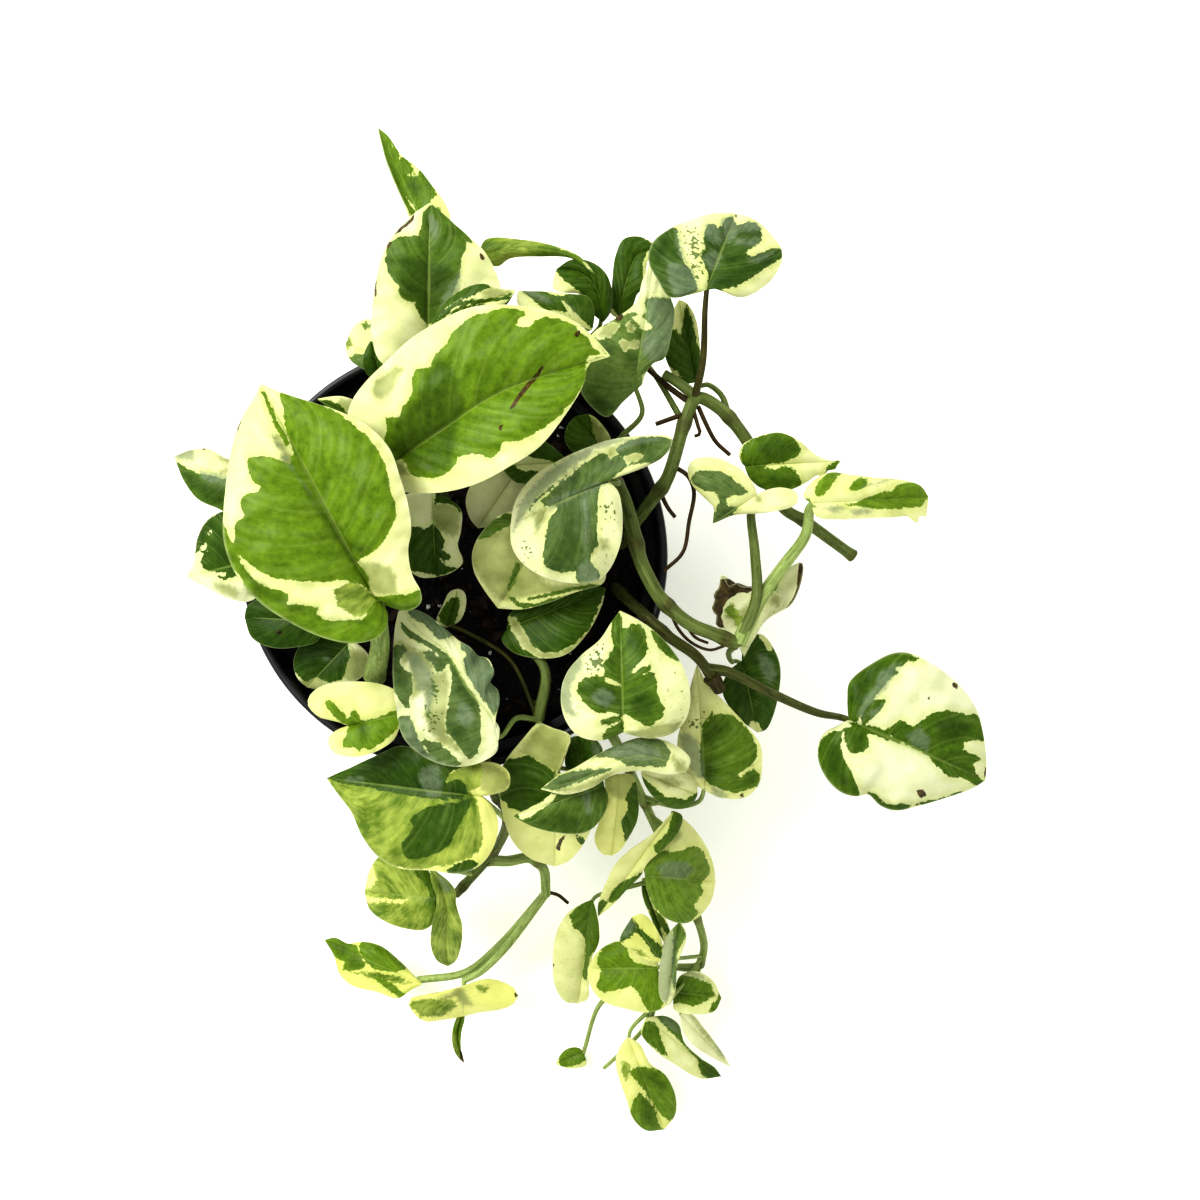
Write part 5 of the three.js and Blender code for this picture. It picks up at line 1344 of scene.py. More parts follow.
# %% The shoot of the middle
add_vine(
    "middle", radius=1.8, planted="455,522", stem="450,512,107 444,494,113 438,478,120",
)
add_leaf(
    base="392,464,150", tip="610,356,164", via="418,470,137", arch=6, lift=[3, 3], bulge=[4, 3],
    midrib="440,431 500,392",
    left="""382,455 362,440 348,420 352,402 365,383 385,363 410,340 440,321 470,308 500,305 540,309 570,320
    592,336""",
    right="385,478 394,489 420,493 450,491 480,482 510,466 540,446 565,415 583,385 588,366 594,359",
    deep=0.0, warm=0.4,
    green="""447,345 436,354 430,368 424,367 416,370 412,378 413,392 408,402 402,406 400,416 386,418 387,430
    384,440 390,458 405,460 408,470 415,477 435,478 447,473 456,465 458,457 470,454 482,455 492,458
    500,450 503,442 520,440 533,434 545,428 560,415 575,398 585,380 588,364 592,358 606,355 600,347
    590,341 584,335 575,326 560,319 545,317 535,321 529,328 524,328 516,326 519,319 526,317 524,312
    515,309 500,309 485,314 475,315 460,325 452,334""",
    # this dark patch is painted shade beside the midrib
    dark="""440,360 425,378 416,400 404,415 392,425 392,450 408,462 420,472 435,474 447,468 454,455 458,430
    462,408 458,382 450,362""",
    brown="""509,410 515,400 523,388 532,378 543,364 545,366 536,380 526,392 517,404 511,411; 573,335
    578,330 582,330 578,338; 499,426 504,425 500,433""",
    tan="""371,392 376,381 386,373 397,365 404,370 397,379 393,391 383,399 375,398; 395,462 404,462 408,474
    398,476""",
    cream="590,341 600,347 606,355 592,358 588,364 584,372 588,356 600,354 592,346",
)
add_leaf(
    base="432,493,126", tip="436,577,118", arch=2, bulge=[1, 1],
    left="450,500 461,510 461,530 458,546 463,562 452,572",
    right="415,492 400,500 402,540 408,568 420,577",
    deep=1.0, warm=0.1,
    green="""408,525 425,529 432,524 441,532 445,542 442,550 451,556 448,561 440,558 445,565 458,568 440,576
    425,573 410,570 407,548; 437,490 450,488 462,497 466,514 460,512 452,504 440,503 434,504; 456,536
    462,545 466,558 460,550""",
    tan="433,506 446,503 457,505 461,515 460,530 455,537 446,534 437,526 432,517",
    dark="431,504 435,504 433,518 440,528 434,524 430,514",
)
add_leaf(
    base="516,472,124", tip="478,528,118", arch=2, bulge=[1, 1],
    left="526,490 515,512 495,525",
    right="496,467 475,479 466,500 470,518",
    deep=0.6, warm=0.2,
)
add_leaf(
    base="569,462,126", tip="500,466,126", arch=2, bulge=[1, 1],
    left="560,472 540,480 518,483 507,474",
    right="556,450 540,440 520,450 506,458",
    deep=0.9, warm=0.2,
    green="""521,452 530,448 540,438 556,448 574,462 560,464 545,459 530,457; 509,463 525,472 532,470
    540,472 550,467 548,480 530,486 513,482 504,472""",
    tan="505,463 512,462 514,468 507,470",
)
print("leaves here:", len(VINES[-1]["leaves"]))

# %% [markdown]
# All leaves in one list are handier for what follows.

# %% All leaves
leaves = [leaf for vine in VINES for leaf in vine["leaves"]]
print("vines:", len(VINES), "leaves:", len(leaves))

# %% [markdown]
# Stems and stalks are round and taper, so each is drawn as a curve with a thickness at every point and
# then made a mesh. A stem swells a little at its nodes, where leaves and roots grow. Each point keeps
# how pale and how brown the skin is there, and where it lies along and off the middle line, so that the
# skin can be streaked lengthwise.

# %% Helper: a tapering round stem
STEM_STEP = 1.5
STEM_SIDES_SETTING = 3
NODE_SPACING = 24
NODE_SWELLING = 0.2
NODE_LENGTH = 2.2
NODE_BROWN = 0.55
FEWEST_STEPS = 6
PALENESS = {
    "back": 0.5, "top": 0.3, "right": 0.55, "long": 0.05, "front_right": 0.85, "front": 0.7,
    "front_left": 1.0, "left": 0.4, "crown": 0.95, "middle": 0.4, "right_leaf_4_stalk": 0.3,
    "right_leaf_5_stalk": 1.0, "front_left_stem": 0.25, "front_small_1_stalk": 0.0,
    "front_leaf_4_stalk": 0.35, "top_leaf_1_stalk": 0.0, "right_stem": 0.25,
}
BROWNNESS = {
    "top_twig_1": 1, "top_twig_2": 1, "top_twig_3": 1, "top_twig_4": 1, "top_twig_5": 1, "top_twig_6": 1,
    "front_left_twig_1": 1, "top_leaf_1_stalk": 0.6, "long_stem": 0.35, "long_leaf_1_stalk": 0.3,
    "long_twig_0": 0.8, "front_small_1_stalk": 0.4, "right_twig_0": 1, "right_twig_1": 1,
}


def from_nodes(walked):
    """How far in mm places along a stem are from its nearest node."""
    return np.abs((walked + NODE_SPACING / 2) % NODE_SPACING - NODE_SPACING / 2)


def store(piece, kind, levels):
    """Keeps a value for each point of a piece, where its finish can read it."""
    piece.data.attributes.new(kind, "FLOAT", "POINT").data.foreach_set("value", levels)


def grown(name, paleness, line, start_radius, end_radius, knotted):
    """A round stem along a line in mm, thicker and browner at its nodes if it is knotted."""
    steps = max(FEWEST_STEPS, int(line.length / STEM_STEP))
    shares = np.linspace(0, 1, steps + 1)
    radii = start_radius + (end_radius - start_radius) * shares
    if knotted:
        radii *= 1 + NODE_SWELLING * np.exp(-((from_nodes(shares * line.length) / NODE_LENGTH) ** 2))
    curve = bpy.data.curves.new(name, "CURVE")
    curve.dimensions = "3D"
    curve.bevel_depth = MM
    curve.bevel_resolution = STEM_SIDES_SETTING
    curve.use_fill_caps = True
    spline = curve.splines.new("POLY")
    spline.points.add(steps)
    for point, place, radius in zip(spline.points, line.at(shares) * MM, radii):
        point.co = (*place, 1)
        point.radius = radius
    piece = bpy.data.objects.new(name, curve)
    bpy.context.scene.collection.objects.link(piece)
    only(piece)
    bpy.ops.object.convert(target="MESH")
    bpy.ops.object.shade_smooth()
    piece = bpy.context.object
    corners = np.empty(len(piece.data.vertices) * 3)
    piece.data.vertices.foreach_get("co", corners)
    off_line = corners.reshape(-1, 1, 3) / MM - line.fine
    nearest = np.linalg.norm(off_line, axis=2).argmin(axis=1)
    walked = line.walked[nearest]
    brown = np.full(len(walked), float(BROWNNESS.get(name, 0)))
    if knotted:
        brown = np.maximum(brown, NODE_BROWN * np.exp(-((from_nodes(walked) / NODE_LENGTH) ** 2)))
    pale = np.full(len(walked), PALENESS.get(name, paleness))
    for kind, level in {"brown": brown, "pale": pale, "walked": walked}.items():
        store(piece, kind, level)
    aside = off_line[np.arange(len(walked)), nearest]
    piece.data.attributes.new("aside", "FLOAT_VECTOR", "POINT").data.foreach_set("vector", aside.ravel())
    return piece


# %% [markdown]
# A leaf's stalk leaves the stem, passes the places that are seen, and meets the blade at its notch.

# %% Stems and stalks
ROOT_DEPTH = 14
PEG_RISE = 5
STALK_BEND = 4
STALK_REACH = 2
SHORTEST_BEND = 6
STALK_TOP_RADIUS = 0.75
STALK_TAPER = 0.6
SMALL_STALK_RADIUS = 0.8
TAPER = 0.85
THINNEST_STEM = 1.9


def stretched(vector, length):
    return vector * length / np.linalg.norm(vector)


def stalk_line(leaf, vine, stem):
    base, tip = seen_at(leaf["base"]), seen_at(leaf["tip"])
    way = [seen_at(place) for place in leaf["via"]]
    if leaf["twig"] is None:
        start = stem.at(leaf["at"])
    else:
        start = seen_at(vine["twigs"][leaf["twig"]][1][-1])
    last = way[-1] if way else (start + base) / 2
    side = (last - base) * [1, 1, 0]
    under = base + stretched(side, STALK_REACH) + [0, 0, STALK_BEND if leaf["over"] else -STALK_BEND]
    points = [start, *way]
    if np.linalg.norm(last - under) > SHORTEST_BEND and not leaf["small"]:
        points.append(under)
    points.append(base + stretched(tip - base, STALK_REACH / 2))
    return Line(points)


for vine in VINES:
    foot = seen_at([*vine["planted"], SOIL_TOP])
    buried = foot - [0, 0, ROOT_DEPTH]
    rising = foot + [0, 0, PEG_RISE - 1]
    vine["line"] = Line([rising, *seen_at(vine["stem"])])
    whole = Line([buried, foot, rising, *seen_at(vine["stem"])])
    name, radius = vine["name"], vine["radius"]
    paleness = PALENESS[name]
    parts = [grown(f"{name}_stem", paleness, whole, radius, radius * TAPER, True)]
    for number, (radius, points) in enumerate(vine["twigs"]):
        twig_name = f"{name}_twig_{number}"
        knotted = radius > THINNEST_STEM
        parts.append(grown(twig_name, paleness, Line(seen_at(points)), radius, radius * TAPER, knotted))
    for leaf in vine["leaves"]:
        radius = SMALL_STALK_RADIUS if leaf["small"] else leaf["stalk"]
        line = stalk_line(leaf, vine, vine["line"])
        top_radius = max(min(radius, STALK_TOP_RADIUS), radius * STALK_TAPER)
        parts.append(grown(f"{leaf['name']}_stalk", paleness, line, radius, top_radius, False))
    deselect_all()
    for part in parts:
        part.select_set(True)
    bpy.context.view_layer.objects.active = parts[0]
    bpy.ops.object.join()
    vine["piece"] = named(f"{name}_stems")
    stand_for(vine["piece"], f"{name}_vine")
print("stems:", sum(len(vine["piece"].data.polygons) for vine in VINES), "faces")

# %% [markdown]
# ## Patches
# The finish of a leaf is found from how deep a point lies inside an outline. A small irregular shift of
# that depth then gives the torn edges of the real patches.
#
# How deep a point lies inside an outline is its distance to the nearest side, counted negative when it
# is outside. A point is inside if a line from it to the right crosses the outline an odd number of times.

# %% Helper: depth inside an outline
KINDS = ("green", "dark", "grey", "lime", "tan", "specks", "brown")
LEAF_VARIETY = 50
DEEPEST = 6
ALMOST_ZERO = 1e-9
SEEN_MM = 0.34


def outlines(text):
    """The outlines of a text as arrays of places."""
    return [read_places(part) for part in text.split(";") if part.strip()]


def depth_inside(corners, places):
    """How far in mm each seen place lies inside the outline, negative outside it."""
    nearest = np.full(len(places), np.inf)
    inside = np.zeros(len(places), bool)
    x, y = places.T
    for (ax, ay), (bx, by) in zip(corners, np.roll(corners, -1, axis=0)):
        run, rise = bx - ax, by - ay
        length = run * run + rise * rise + ALMOST_ZERO
        share = np.clip(((x - ax) * run + (y - ay) * rise) / length, 0, 1)
        nearest = np.minimum(nearest, np.hypot(x - ax - share * run, y - ay - share * rise))
        spans = (ay > y) != (by > y)
        crossing = ax + run * (y - ay) / (rise if rise else ALMOST_ZERO)
        inside ^= spans & (x < crossing)
    return np.where(inside, nearest, -nearest) * SEEN_MM


def patch_depths(leaf, places):
    """For each kind of patch, the depth in mm of each seen place inside all patches of that kind."""
    taken = np.full(len(places), -float(DEEPEST))
    for corners in outlines(leaf.get("cream", "")):
        taken = np.maximum(taken, depth_inside(corners, places))
    depths = {}
    for kind in KINDS:
        depth = np.full(len(places), -float(DEEPEST))
        for corners in outlines(leaf.get(kind, "")):
            depth = np.maximum(depth, depth_inside(corners, places))
        if kind != "tan":
            depth = np.minimum(depth, -taken)
        # dark, a deeper green that is partly painted shade, shows on green alone
        if kind == "dark":
            depth = np.minimum(depth, depths["green"])
        depths[kind] = np.clip(depth, -DEEPEST, DEEPEST)
    return depths


# %% [markdown]
# ## Blades
# A blade starts as a flat grid, one way along the midrib and the other from edge to edge. Every point
# of it is then moved to its place between the midrib and the edge. On the way it gets what makes a
# leaf: a groove along the midrib, soft quilting between the side veins, a rumpled surface and a wavy
# edge. The rows of points that meet at the notch and at the tip are merged, and a thickness is added.

# %% Blade surface
BLADE_THICKNESS = 0.5
POINT_SPACING = 0.72
GROOVE_DEPTH = 0.4
GROOVE_WIDTH = 0.9
QUILT_DEPTH = 0.2
VEIN_SPACING = 7
VEIN_SLANT = 0.25
RUMPLE = 0.5
RUMPLE_LENGTH = 13
RUMPLE_WAVES = 5
RUMPLE_HEIGHT = 2.5
SHORTEST_RUMPLE = 0.6
EDGE_WAVE = 0.35
EDGE_WAVES = 1.6
FEWEST_VEINS = 4
FULL_WIDTH = 40


def rumple(places, chance):
    """A smooth unevenness about 1 high, the sum of a few waves in directions drawn by chance."""
    height = np.zeros(len(places))
    for _ in range(RUMPLE_WAVES):
        angle = chance.random() * math.tau
        start = chance.random() * math.tau
        length = RUMPLE_LENGTH * (SHORTEST_RUMPLE + chance.random())
        along = places[:, 0] * math.cos(angle) + places[:, 1] * math.sin(angle)
        height += np.sin(math.tau * along / length + start)
    return height / RUMPLE_HEIGHT


def blade_places(leaf, t, v, chance):
    """Where the points of a blade are seen, and where they are in mm.

    `t` goes from 0 at the notch to 1 at the tip, and `v` from 1 at the left edge to -1 at the right one.
    """
    out = np.abs(v)
    half = (v <= 0).astype(int)
    along = t**MIDRIB_CROWDING
    rib = leaf["rib_line"].at(along)
    left, right = (edge.at(t) for edge in leaf["edge_lines"])
    edge = np.where(half[:, None] == 0, left, right)
    seen = rib + (edge - rib) * out[:, None]
    reach = np.linalg.norm(edge - rib, axis=1)
    width = np.minimum(1, reach / np.array(leaf["widest"])[half])
    wave, waves, start = leaf["wave"]
    turns = waves * t + start + half * RIGHT_WAVE_DELAY
    height = leaf["base"][2] + (leaf["tip"][2] - leaf["base"][2]) * along
    height += leaf["arch"] * 4 * along * (1 - along)
    lift, bulge = np.array(leaf["lift"])[half], np.array(leaf["bulge"])[half]
    height += width * (lift * out + bulge * 4 * out * (1 - out))
    height += wave * out**2 * np.sin(math.pi * t) * np.sin(math.tau * turns)
    size = min(1, sum(leaf["widest"]) * SEEN_MM / FULL_WIDTH)
    off_rib = reach * out * SEEN_MM
    free = np.sin(math.pi * t) ** 0.5
    height -= size * GROOVE_DEPTH * np.exp(-((off_rib / GROOVE_WIDTH) ** 2)) * free
    veins = max(FEWEST_VEINS, round(leaf["rib_line"].length * SEEN_MM / VEIN_SPACING))
    quilt = np.cos(math.tau * veins * (t - VEIN_SLANT * out))
    height += size * QUILT_DEPTH * quilt * 4 * out * (1 - out) * free
    height += size * RUMPLE * rumple(seen * SEEN_MM, chance) * np.minimum(1, 2 * out) * free
    ripple = np.sin(math.tau * (EDGE_WAVES * veins * t + chance.random()))
    height += size * EDGE_WAVE * out**4 * ripple * free
    return seen, seen_at(np.column_stack([seen, height]))


# %% Make the blades
FIRST_SEED = 100
ROW_LIMITS = (14, 110)
COLUMN_LIMITS = (8, 90)
BLADE_MERGED_WITHIN = 0.001
BLADE_SHARP_ANGLE = 60


def blade(leaf, number):
    chance = np.random.default_rng(FIRST_SEED + number)
    rows = int(np.clip(leaf["rib_line"].length * SEEN_MM / POINT_SPACING, *ROW_LIMITS))
    columns = int(np.clip(sum(leaf["widest"]) * SEEN_MM / POINT_SPACING, *COLUMN_LIMITS)) // 2 * 2
    deselect_all()
    bpy.ops.mesh.primitive_grid_add(x_subdivisions=columns, y_subdivisions=rows, size=2)
    piece = named(f"{leaf['name']}_blade")
    grid = np.empty(len(piece.data.vertices) * 3)
    piece.data.vertices.foreach_get("co", grid)
    across, along, _ = grid.reshape(-1, 3).T
    seen, places = blade_places(leaf, (along + 1) / 2, -across, chance)
    piece.data.vertices.foreach_set("co", (places * MM).ravel())
    for kind, depth in patch_depths(leaf, seen).items():
        store(piece, kind, depth)
    shares = {kind: leaf[kind] for kind in LEAF_SHARES}
    for kind, share in {**shares, "chance": chance.random() * LEAF_VARIETY}.items():
        store(piece, kind, np.full(len(seen), share))
    piece.data.update()

    only(piece)
    bpy.ops.object.mode_set(mode="EDIT")
    bpy.ops.mesh.select_all(action="SELECT")
    bpy.ops.mesh.remove_doubles(threshold=BLADE_MERGED_WITHIN * MM)
    if sum(polygon.normal.z * polygon.area for polygon in piece.data.polygons) < 0:
        bpy.ops.mesh.flip_normals()
    bpy.ops.object.mode_set(mode="OBJECT")
    thicken = piece.modifiers.new("thickness", "SOLIDIFY")
    thicken.thickness = BLADE_THICKNESS * MM
    thicken.offset = 0
    thicken.material_offset = 1
    thicken.material_offset_rim = 0
    apply_modifiers(piece)
    bpy.ops.object.shade_smooth_by_angle(angle=math.radians(BLADE_SHARP_ANGLE))
    return piece


for number, leaf in enumerate(leaves):
    leaf["piece"] = blade(leaf, number)
    stand_for(leaf["piece"], leaf["node"])
print("blades:", sum(len(leaf["piece"].data.polygons) for leaf in leaves), "faces")

# %% [markdown]
# ## Finish of a leaf
# A pothos leaf is smooth and waxy. Its cream parts have no leaf green at all. Where green and cream
# overlap in the depth of the leaf, a patch looks silvery. Each noise below has the size of its spots in
# mm, its detail and its roughness. Each shade is a pair of colours that one of the noises mixes, so
# that no patch is quite even. `streak` is a noise drawn out along the side veins.

# %% Noises and shades of a leaf
NOISES = {
    "cloud": (9, 4.0, 0.5), "mottle": (2.6, 5.0, 0.7), "tear": (1.7, 5.0, 0.65), "skin": (0.8, 3.0, 0.5),
    "freckle": (1.3, 1.0, 0.5),
}
NOISE_REACH = {"cloud": (0.35, 0.65), "mottle": (0.4, 0.7), "blotch": (0.7, 1.3), "marble": (0.8, 1.3)}
STREAKS_ALONG = 26
STREAKS_OUT = 6
SHADES = {
    "cream": ("cloud", "#c9cc9f", "#d8dab4"),
    "warm cream": ("cloud", "#ced174", "#dbdc82"),
    "pale lime": ("mottle", "#a3b048", "#cdd382"),
    "bright green": ("blotch", "#4d680c", "#769225"),
    "deep green": ("blotch", "#274304", "#446015"),
    "grey-green": ("blotch", "#4c6136", "#788658"),
    # the deepest green, also used for painted shade
    "darkest green and painted shade": ("blotch", "#1a3003", "#304b08"),
    # the silvery green, also used for painted sheen
    "silver": ("blotch", "#586950", "#838f72"),
    "lime": ("marble", "#4d690d", "#a9b656"),
    # the lighter green of the painted highlight
    "painted_glint": ("cloud", "#8fa45c", "#a7b87a"),
    # the olive of the shade painted on the cream
    "olive painted shade": ("cloud", "#6f773d", "#989f60"),
    "dry brown": ("mottle", "#241709", "#66502c"),
    "vein": ("cloud", "#8c9f52", "#9caa66"),
    "underside": ("cloud", "#8f9b70", "#9da681"),
}

# %% [markdown]
# A layer shows where its depth, torn by noise, has passed from `start` to `stop`. All three are in mm,
# and `tear` is how strongly the noise tears. As a noise swings about its mean, `start` and `stop` are
# counted from the mean. `halo` is the faint lime that the cream has near the green.

# %% Layers of a leaf
SHIFT_MEAN = 1.0
FRECKLE_MEAN = 0.5
LAYERS = {
    "halo": dict(depth="green", tear=3.0, start=-3.0, stop=-0.2, cover=0.35),
    # olive shade painted on the cream
    "tan": dict(depth="tan", tear=2.2, start=-1.2, stop=1.2, cover=0.8),
    "lime": dict(depth="lime", tear=3.2, start=-0.4, stop=0.4, cover=0.95),
    "specks": dict(
        depth="specks", tear=20.0, start=2.3, stop=2.9, cover=0.8, noise="freckle", mean=FRECKLE_MEAN,
    ),
    "green": dict(depth="green", tear=1.9, start=-0.1, stop=0.1, cover=1.0),
    # deeper green, and in many places painted shade
    "dark": dict(depth="dark", tear=2.4, start=-1.8, stop=1.8, cover=0.55),
    # silvery green, and in places a painted sheen
    "grey": dict(depth="grey", tear=2.8, start=-1.0, stop=1.0, cover=0.65),
    "brown": dict(depth="brown", tear=0.9, start=-0.1, stop=0.1, cover=0.95),
}
GREEN_COATS = [("deep", "deep green"), ("silver", "grey-green"), ("painted_glint", "painted_glint"), ("vein", "vein")]
CREAM_COATS = [
    ("warm", "warm cream"), ("halo", "pale lime"), ("freckle", "lime"), ("tan", "olive painted shade"),
    ("specks", "deep green"),
]
PATCH_COATS = [("lime", "lime"), ("green", "leaf green"), ("dark", "darkest green and painted shade"), ("grey", "silver")]
LAST_COATS = [("brown", "dry brown"), ("midrib", "vein"), ("edge", "cream")]
TOP_COATS = {
    "leaf green": ["bright green", *GREEN_COATS],
    "leaf": ["cream", *CREAM_COATS, *PATCH_COATS, *LAST_COATS],
}
UNDER_COATS = {**TOP_COATS, "leaf": [*TOP_COATS["leaf"], ("under", "underside")]}

# %% [markdown]
# The veins are found from the grid that the blade was made of: one way along the midrib, the other from
# edge to edge. The midrib is a fine pale line, the side veins are soft and slanted, and the outermost
# edge is a little paler, as the blade is thin there. Between two side veins the skin bulges, and one
# flank of each bulge is painted lighter, a painted glint in place of a highlight. A line has the value
# it is drawn from, where that starts to show and shows fully, and how much it shows.

# %% Finish: waxy leaf
SIDE_VEINS = 8
PAINTED_GLINT_TURN = 1.9
MIDRIB_LINE = (0.02, 0.006, 0.45)
SIDE_VEIN_LINE = (0.9, 1.0, 0.14)
PAINTED_GLINT_LINE = (0.3, 0.9, 0.24)
EDGE_LINE = (0.484, 0.5, 0.3)
FRECKLES = (0.69, 0.73)
UNDERSIDE_SHOWS = 0.35
LEAF_GLOSS = 0.15
UNDERSIDE_GLOSS = 0.07
VEIN_BUMP = -4.0
SHINIEST = 0.3
DULLEST = 0.56


def leaf_finish(name, recipes, gloss):
    material, tree, shader = new_material(name)
    place = add_node(tree, "TexCoord").outputs["Object"]
    noise = {}
    for kind, (size, detail, roughness) in NOISES.items():
        sockets = {"Vector": place, "Scale": spots(size), "Detail": detail, "Roughness": roughness}
        noise[kind] = add_node(tree, "TexNoise", sockets).outputs["Fac"]
    stored = {}
    for kind in (*KINDS, *LEAF_SHARES, "chance"):
        stored[kind] = add_node(tree, "Attribute", attribute_name=kind).outputs["Fac"]

    grid = add_node(tree, "UVMap", uv_map="UVMap")
    ways = add_node(tree, "SeparateXYZ", {0: grid.outputs["UV"]})
    sockets = {0: ways.outputs["X"], 1: 0.5}
    off_middle = add_node(tree, "Math", sockets, operation="SUBTRACT").outputs[0]
    out = add_node(tree, "Math", {0: off_middle}, operation="ABSOLUTE").outputs[0]
    slant = {0: out, 1: -2 * VEIN_SLANT, 2: ways.outputs["Y"]}
    slanted = add_node(tree, "Math", slant, operation="MULTIPLY_ADD").outputs[0]
    sockets = {0: slanted, 1: STREAKS_ALONG, 2: stored["chance"]}
    along = add_node(tree, "Math", sockets, operation="MULTIPLY_ADD")
    aside = add_node(tree, "Math", {0: off_middle, 1: STREAKS_OUT}, operation="MULTIPLY")
    flow = add_node(tree, "CombineXYZ", {0: along.outputs[0], 1: aside.outputs[0]})
    sockets = {"Vector": flow.outputs[0], "Scale": 1.0, "Detail": 5.0, "Roughness": 0.65}
    noise["streak"] = add_node(tree, "TexNoise", sockets).outputs["Fac"]
    sums = {"blotch": "mottle", "marble": "cloud", "shift": "tear"}
    for kind, other in sums.items():
        sockets = {0: noise[other], 1: noise["streak"]}
        noise[kind] = add_node(tree, "Math", sockets, operation="ADD").outputs[0]

    shade = {}
    for kind, (by, low, high) in SHADES.items():
        start, stop = NOISE_REACH[by]
        sockets = {"Value": noise[by], "From Min": start, "From Max": stop}
        share = add_node(tree, "MapRange", sockets)
        pair = {0: share.outputs["Result"], 6: linear(low), 7: linear(high)}
        shade[kind] = add_node(tree, "Mix", pair, data_type="RGBA").outputs["Result"]

    sockets = {0: slanted, 1: math.tau * SIDE_VEINS}
    turns = add_node(tree, "Math", sockets, operation="MULTIPLY").outputs[0]
    ridge = add_node(tree, "Math", {0: turns}, operation="COSINE").outputs[0]
    # one flank of each bulge is painted lighter as a highlight
    late = add_node(tree, "Math", {0: turns, 1: PAINTED_GLINT_TURN}, operation="SUBTRACT").outputs[0]
    flank = add_node(tree, "Math", {0: late}, operation="COSINE").outputs[0]
    painted_glint_mask = add_node(tree, "Math", {0: flank, 1: noise["cloud"]}, operation="MULTIPLY").outputs[0]
    lines = {
        "vein": (ridge, *SIDE_VEIN_LINE), "painted_glint": (painted_glint_mask, *PAINTED_GLINT_LINE), "midrib": (out, *MIDRIB_LINE),
        "edge": (out, *EDGE_LINE), "freckle": (noise["freckle"], *FRECKLES, stored["freckled"]),
    }
    shares = {**stored, "under": UNDERSIDE_SHOWS}
    for kind, (value, start, stop, shows) in lines.items():
        sockets = {"Value": value, "From Min": start, "From Max": stop, "To Max": shows}
        shares[kind] = add_node(tree, "MapRange", sockets).outputs["Result"]

    for kind, layer in LAYERS.items():
        sockets = {0: noise[layer.get("noise", "shift")], 1: layer["tear"], 2: stored[layer["depth"]]}
        torn = add_node(tree, "Math", sockets, operation="MULTIPLY_ADD").outputs[0]
        middle = layer["tear"] * layer.get("mean", SHIFT_MEAN)
        start, stop = middle + layer["start"], middle + layer["stop"]
        sockets = {"Value": torn, "From Min": start, "From Max": stop, "To Max": layer["cover"]}
        spread = add_node(tree, "MapRange", sockets, interpolation_type="SMOOTHSTEP")
        shares[kind] = spread.outputs["Result"]

    for mixed, (first, *coats) in recipes.items():
        shade[mixed] = shade[first]
        for share, coat in coats:
            sockets = {0: shares[share], 6: shade[mixed], 7: shade[coat]}
            shade[mixed] = add_node(tree, "Mix", sockets, data_type="RGBA").outputs["Result"]
    tree.links.new(shade["leaf"], shader.inputs["Base Color"])

    sockets = {0: shares["vein"], 1: VEIN_BUMP, 2: noise["skin"]}
    raised = add_node(tree, "Math", sockets, operation="MULTIPLY_ADD").outputs[0]
    bump = add_node(tree, "Bump", {"Height": raised, "Strength": 0.35, "Distance": 0.12 * MM})
    sockets = {"Value": noise["mottle"], "To Min": SHINIEST, "To Max": DULLEST}
    sheen = add_node(tree, "MapRange", sockets)
    tree.links.new(bump.outputs["Normal"], shader.inputs["Normal"])
    tree.links.new(sheen.outputs["Result"], shader.inputs["Roughness"])
    shader.inputs["Specular IOR Level"].default_value = gloss
    return material


leaf_top = leaf_finish("waxy leaf, upper side", TOP_COATS, LEAF_GLOSS)
leaf_under = leaf_finish("matt leaf, underside", UNDER_COATS, UNDERSIDE_GLOSS)
for leaf in leaves:
    leaf["piece"].data.materials.append(leaf_top)
    leaf["piece"].data.materials.append(leaf_under)
print("colours of a leaf:", len(SHADES))

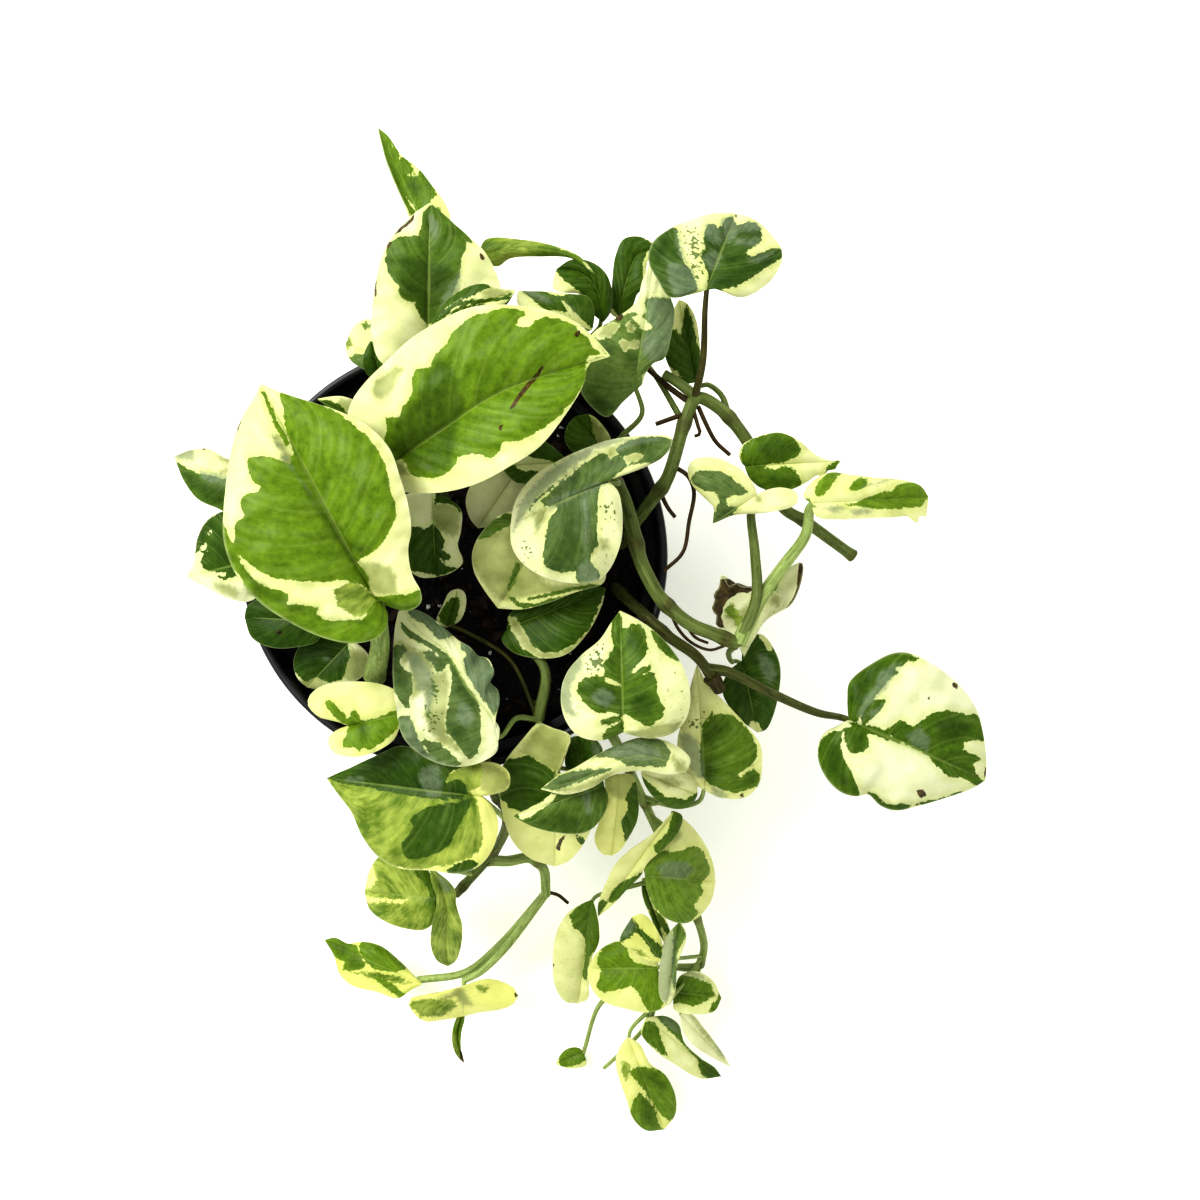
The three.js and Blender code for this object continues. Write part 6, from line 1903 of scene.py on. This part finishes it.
# %% [markdown]
# The stems have a matt, finely streaked skin. Old parts are olive, young ones a pale yellow-green, and
# air roots, nodes and cut ends are brown and corky. A noise of four dimensions that changes fast
# around the stem and slowly along it draws the streaks.

# %% Finish: vine stem
STEM_SHADES = {
    "olive": ("#333a12", "#58632c"), "pale": ("#6d8040", "#a9b973"), "brown": ("#241a0d", "#564527"),
}
STREAK_WIDTH = 0.9
STREAK_LENGTH = 11

vine_skin, tree, shader = new_material("vine stem, green to corky")
stored = {}
for kind in ("pale", "brown", "walked"):
    stored[kind] = add_node(tree, "Attribute", attribute_name=kind).outputs["Fac"]
aside = add_node(tree, "Attribute", attribute_name="aside").outputs["Vector"]
sockets = {0: aside, "Scale": 1 / STREAK_WIDTH}
around = add_node(tree, "VectorMath", sockets, operation="SCALE").outputs[0]
sockets = {0: stored["walked"], 1: 1 / STREAK_LENGTH}
slow = add_node(tree, "Math", sockets, operation="MULTIPLY").outputs[0]
sockets = {"Vector": around, "W": slow, "Scale": 1.0, "Detail": 4.0, "Roughness": 0.6}
streaks = add_node(tree, "TexNoise", sockets, noise_dimensions="4D").outputs["Fac"]
sockets = {"Value": streaks, "From Min": 0.32, "From Max": 0.68}
share = add_node(tree, "MapRange", sockets).outputs["Result"]
colour = None
for kind, (low, high) in STEM_SHADES.items():
    pair = {0: share, 6: linear(low), 7: linear(high)}
    paint = add_node(tree, "Mix", pair, data_type="RGBA").outputs["Result"]
    if colour is not None:
        sockets = {0: stored[kind], 6: colour, 7: paint}
        paint = add_node(tree, "Mix", sockets, data_type="RGBA").outputs["Result"]
    colour = paint
bump = add_node(tree, "Bump", {"Height": streaks, "Strength": 0.5, "Distance": 0.25 * MM})
tree.links.new(colour, shader.inputs["Base Color"])
tree.links.new(bump.outputs["Normal"], shader.inputs["Normal"])
shader.inputs["Roughness"].default_value = 0.55
shader.inputs["Specular IOR Level"].default_value = 0.2
for vine in VINES:
    vine["piece"].data.materials.append(vine_skin)
print("colours of a stem:", len(STEM_SHADES))
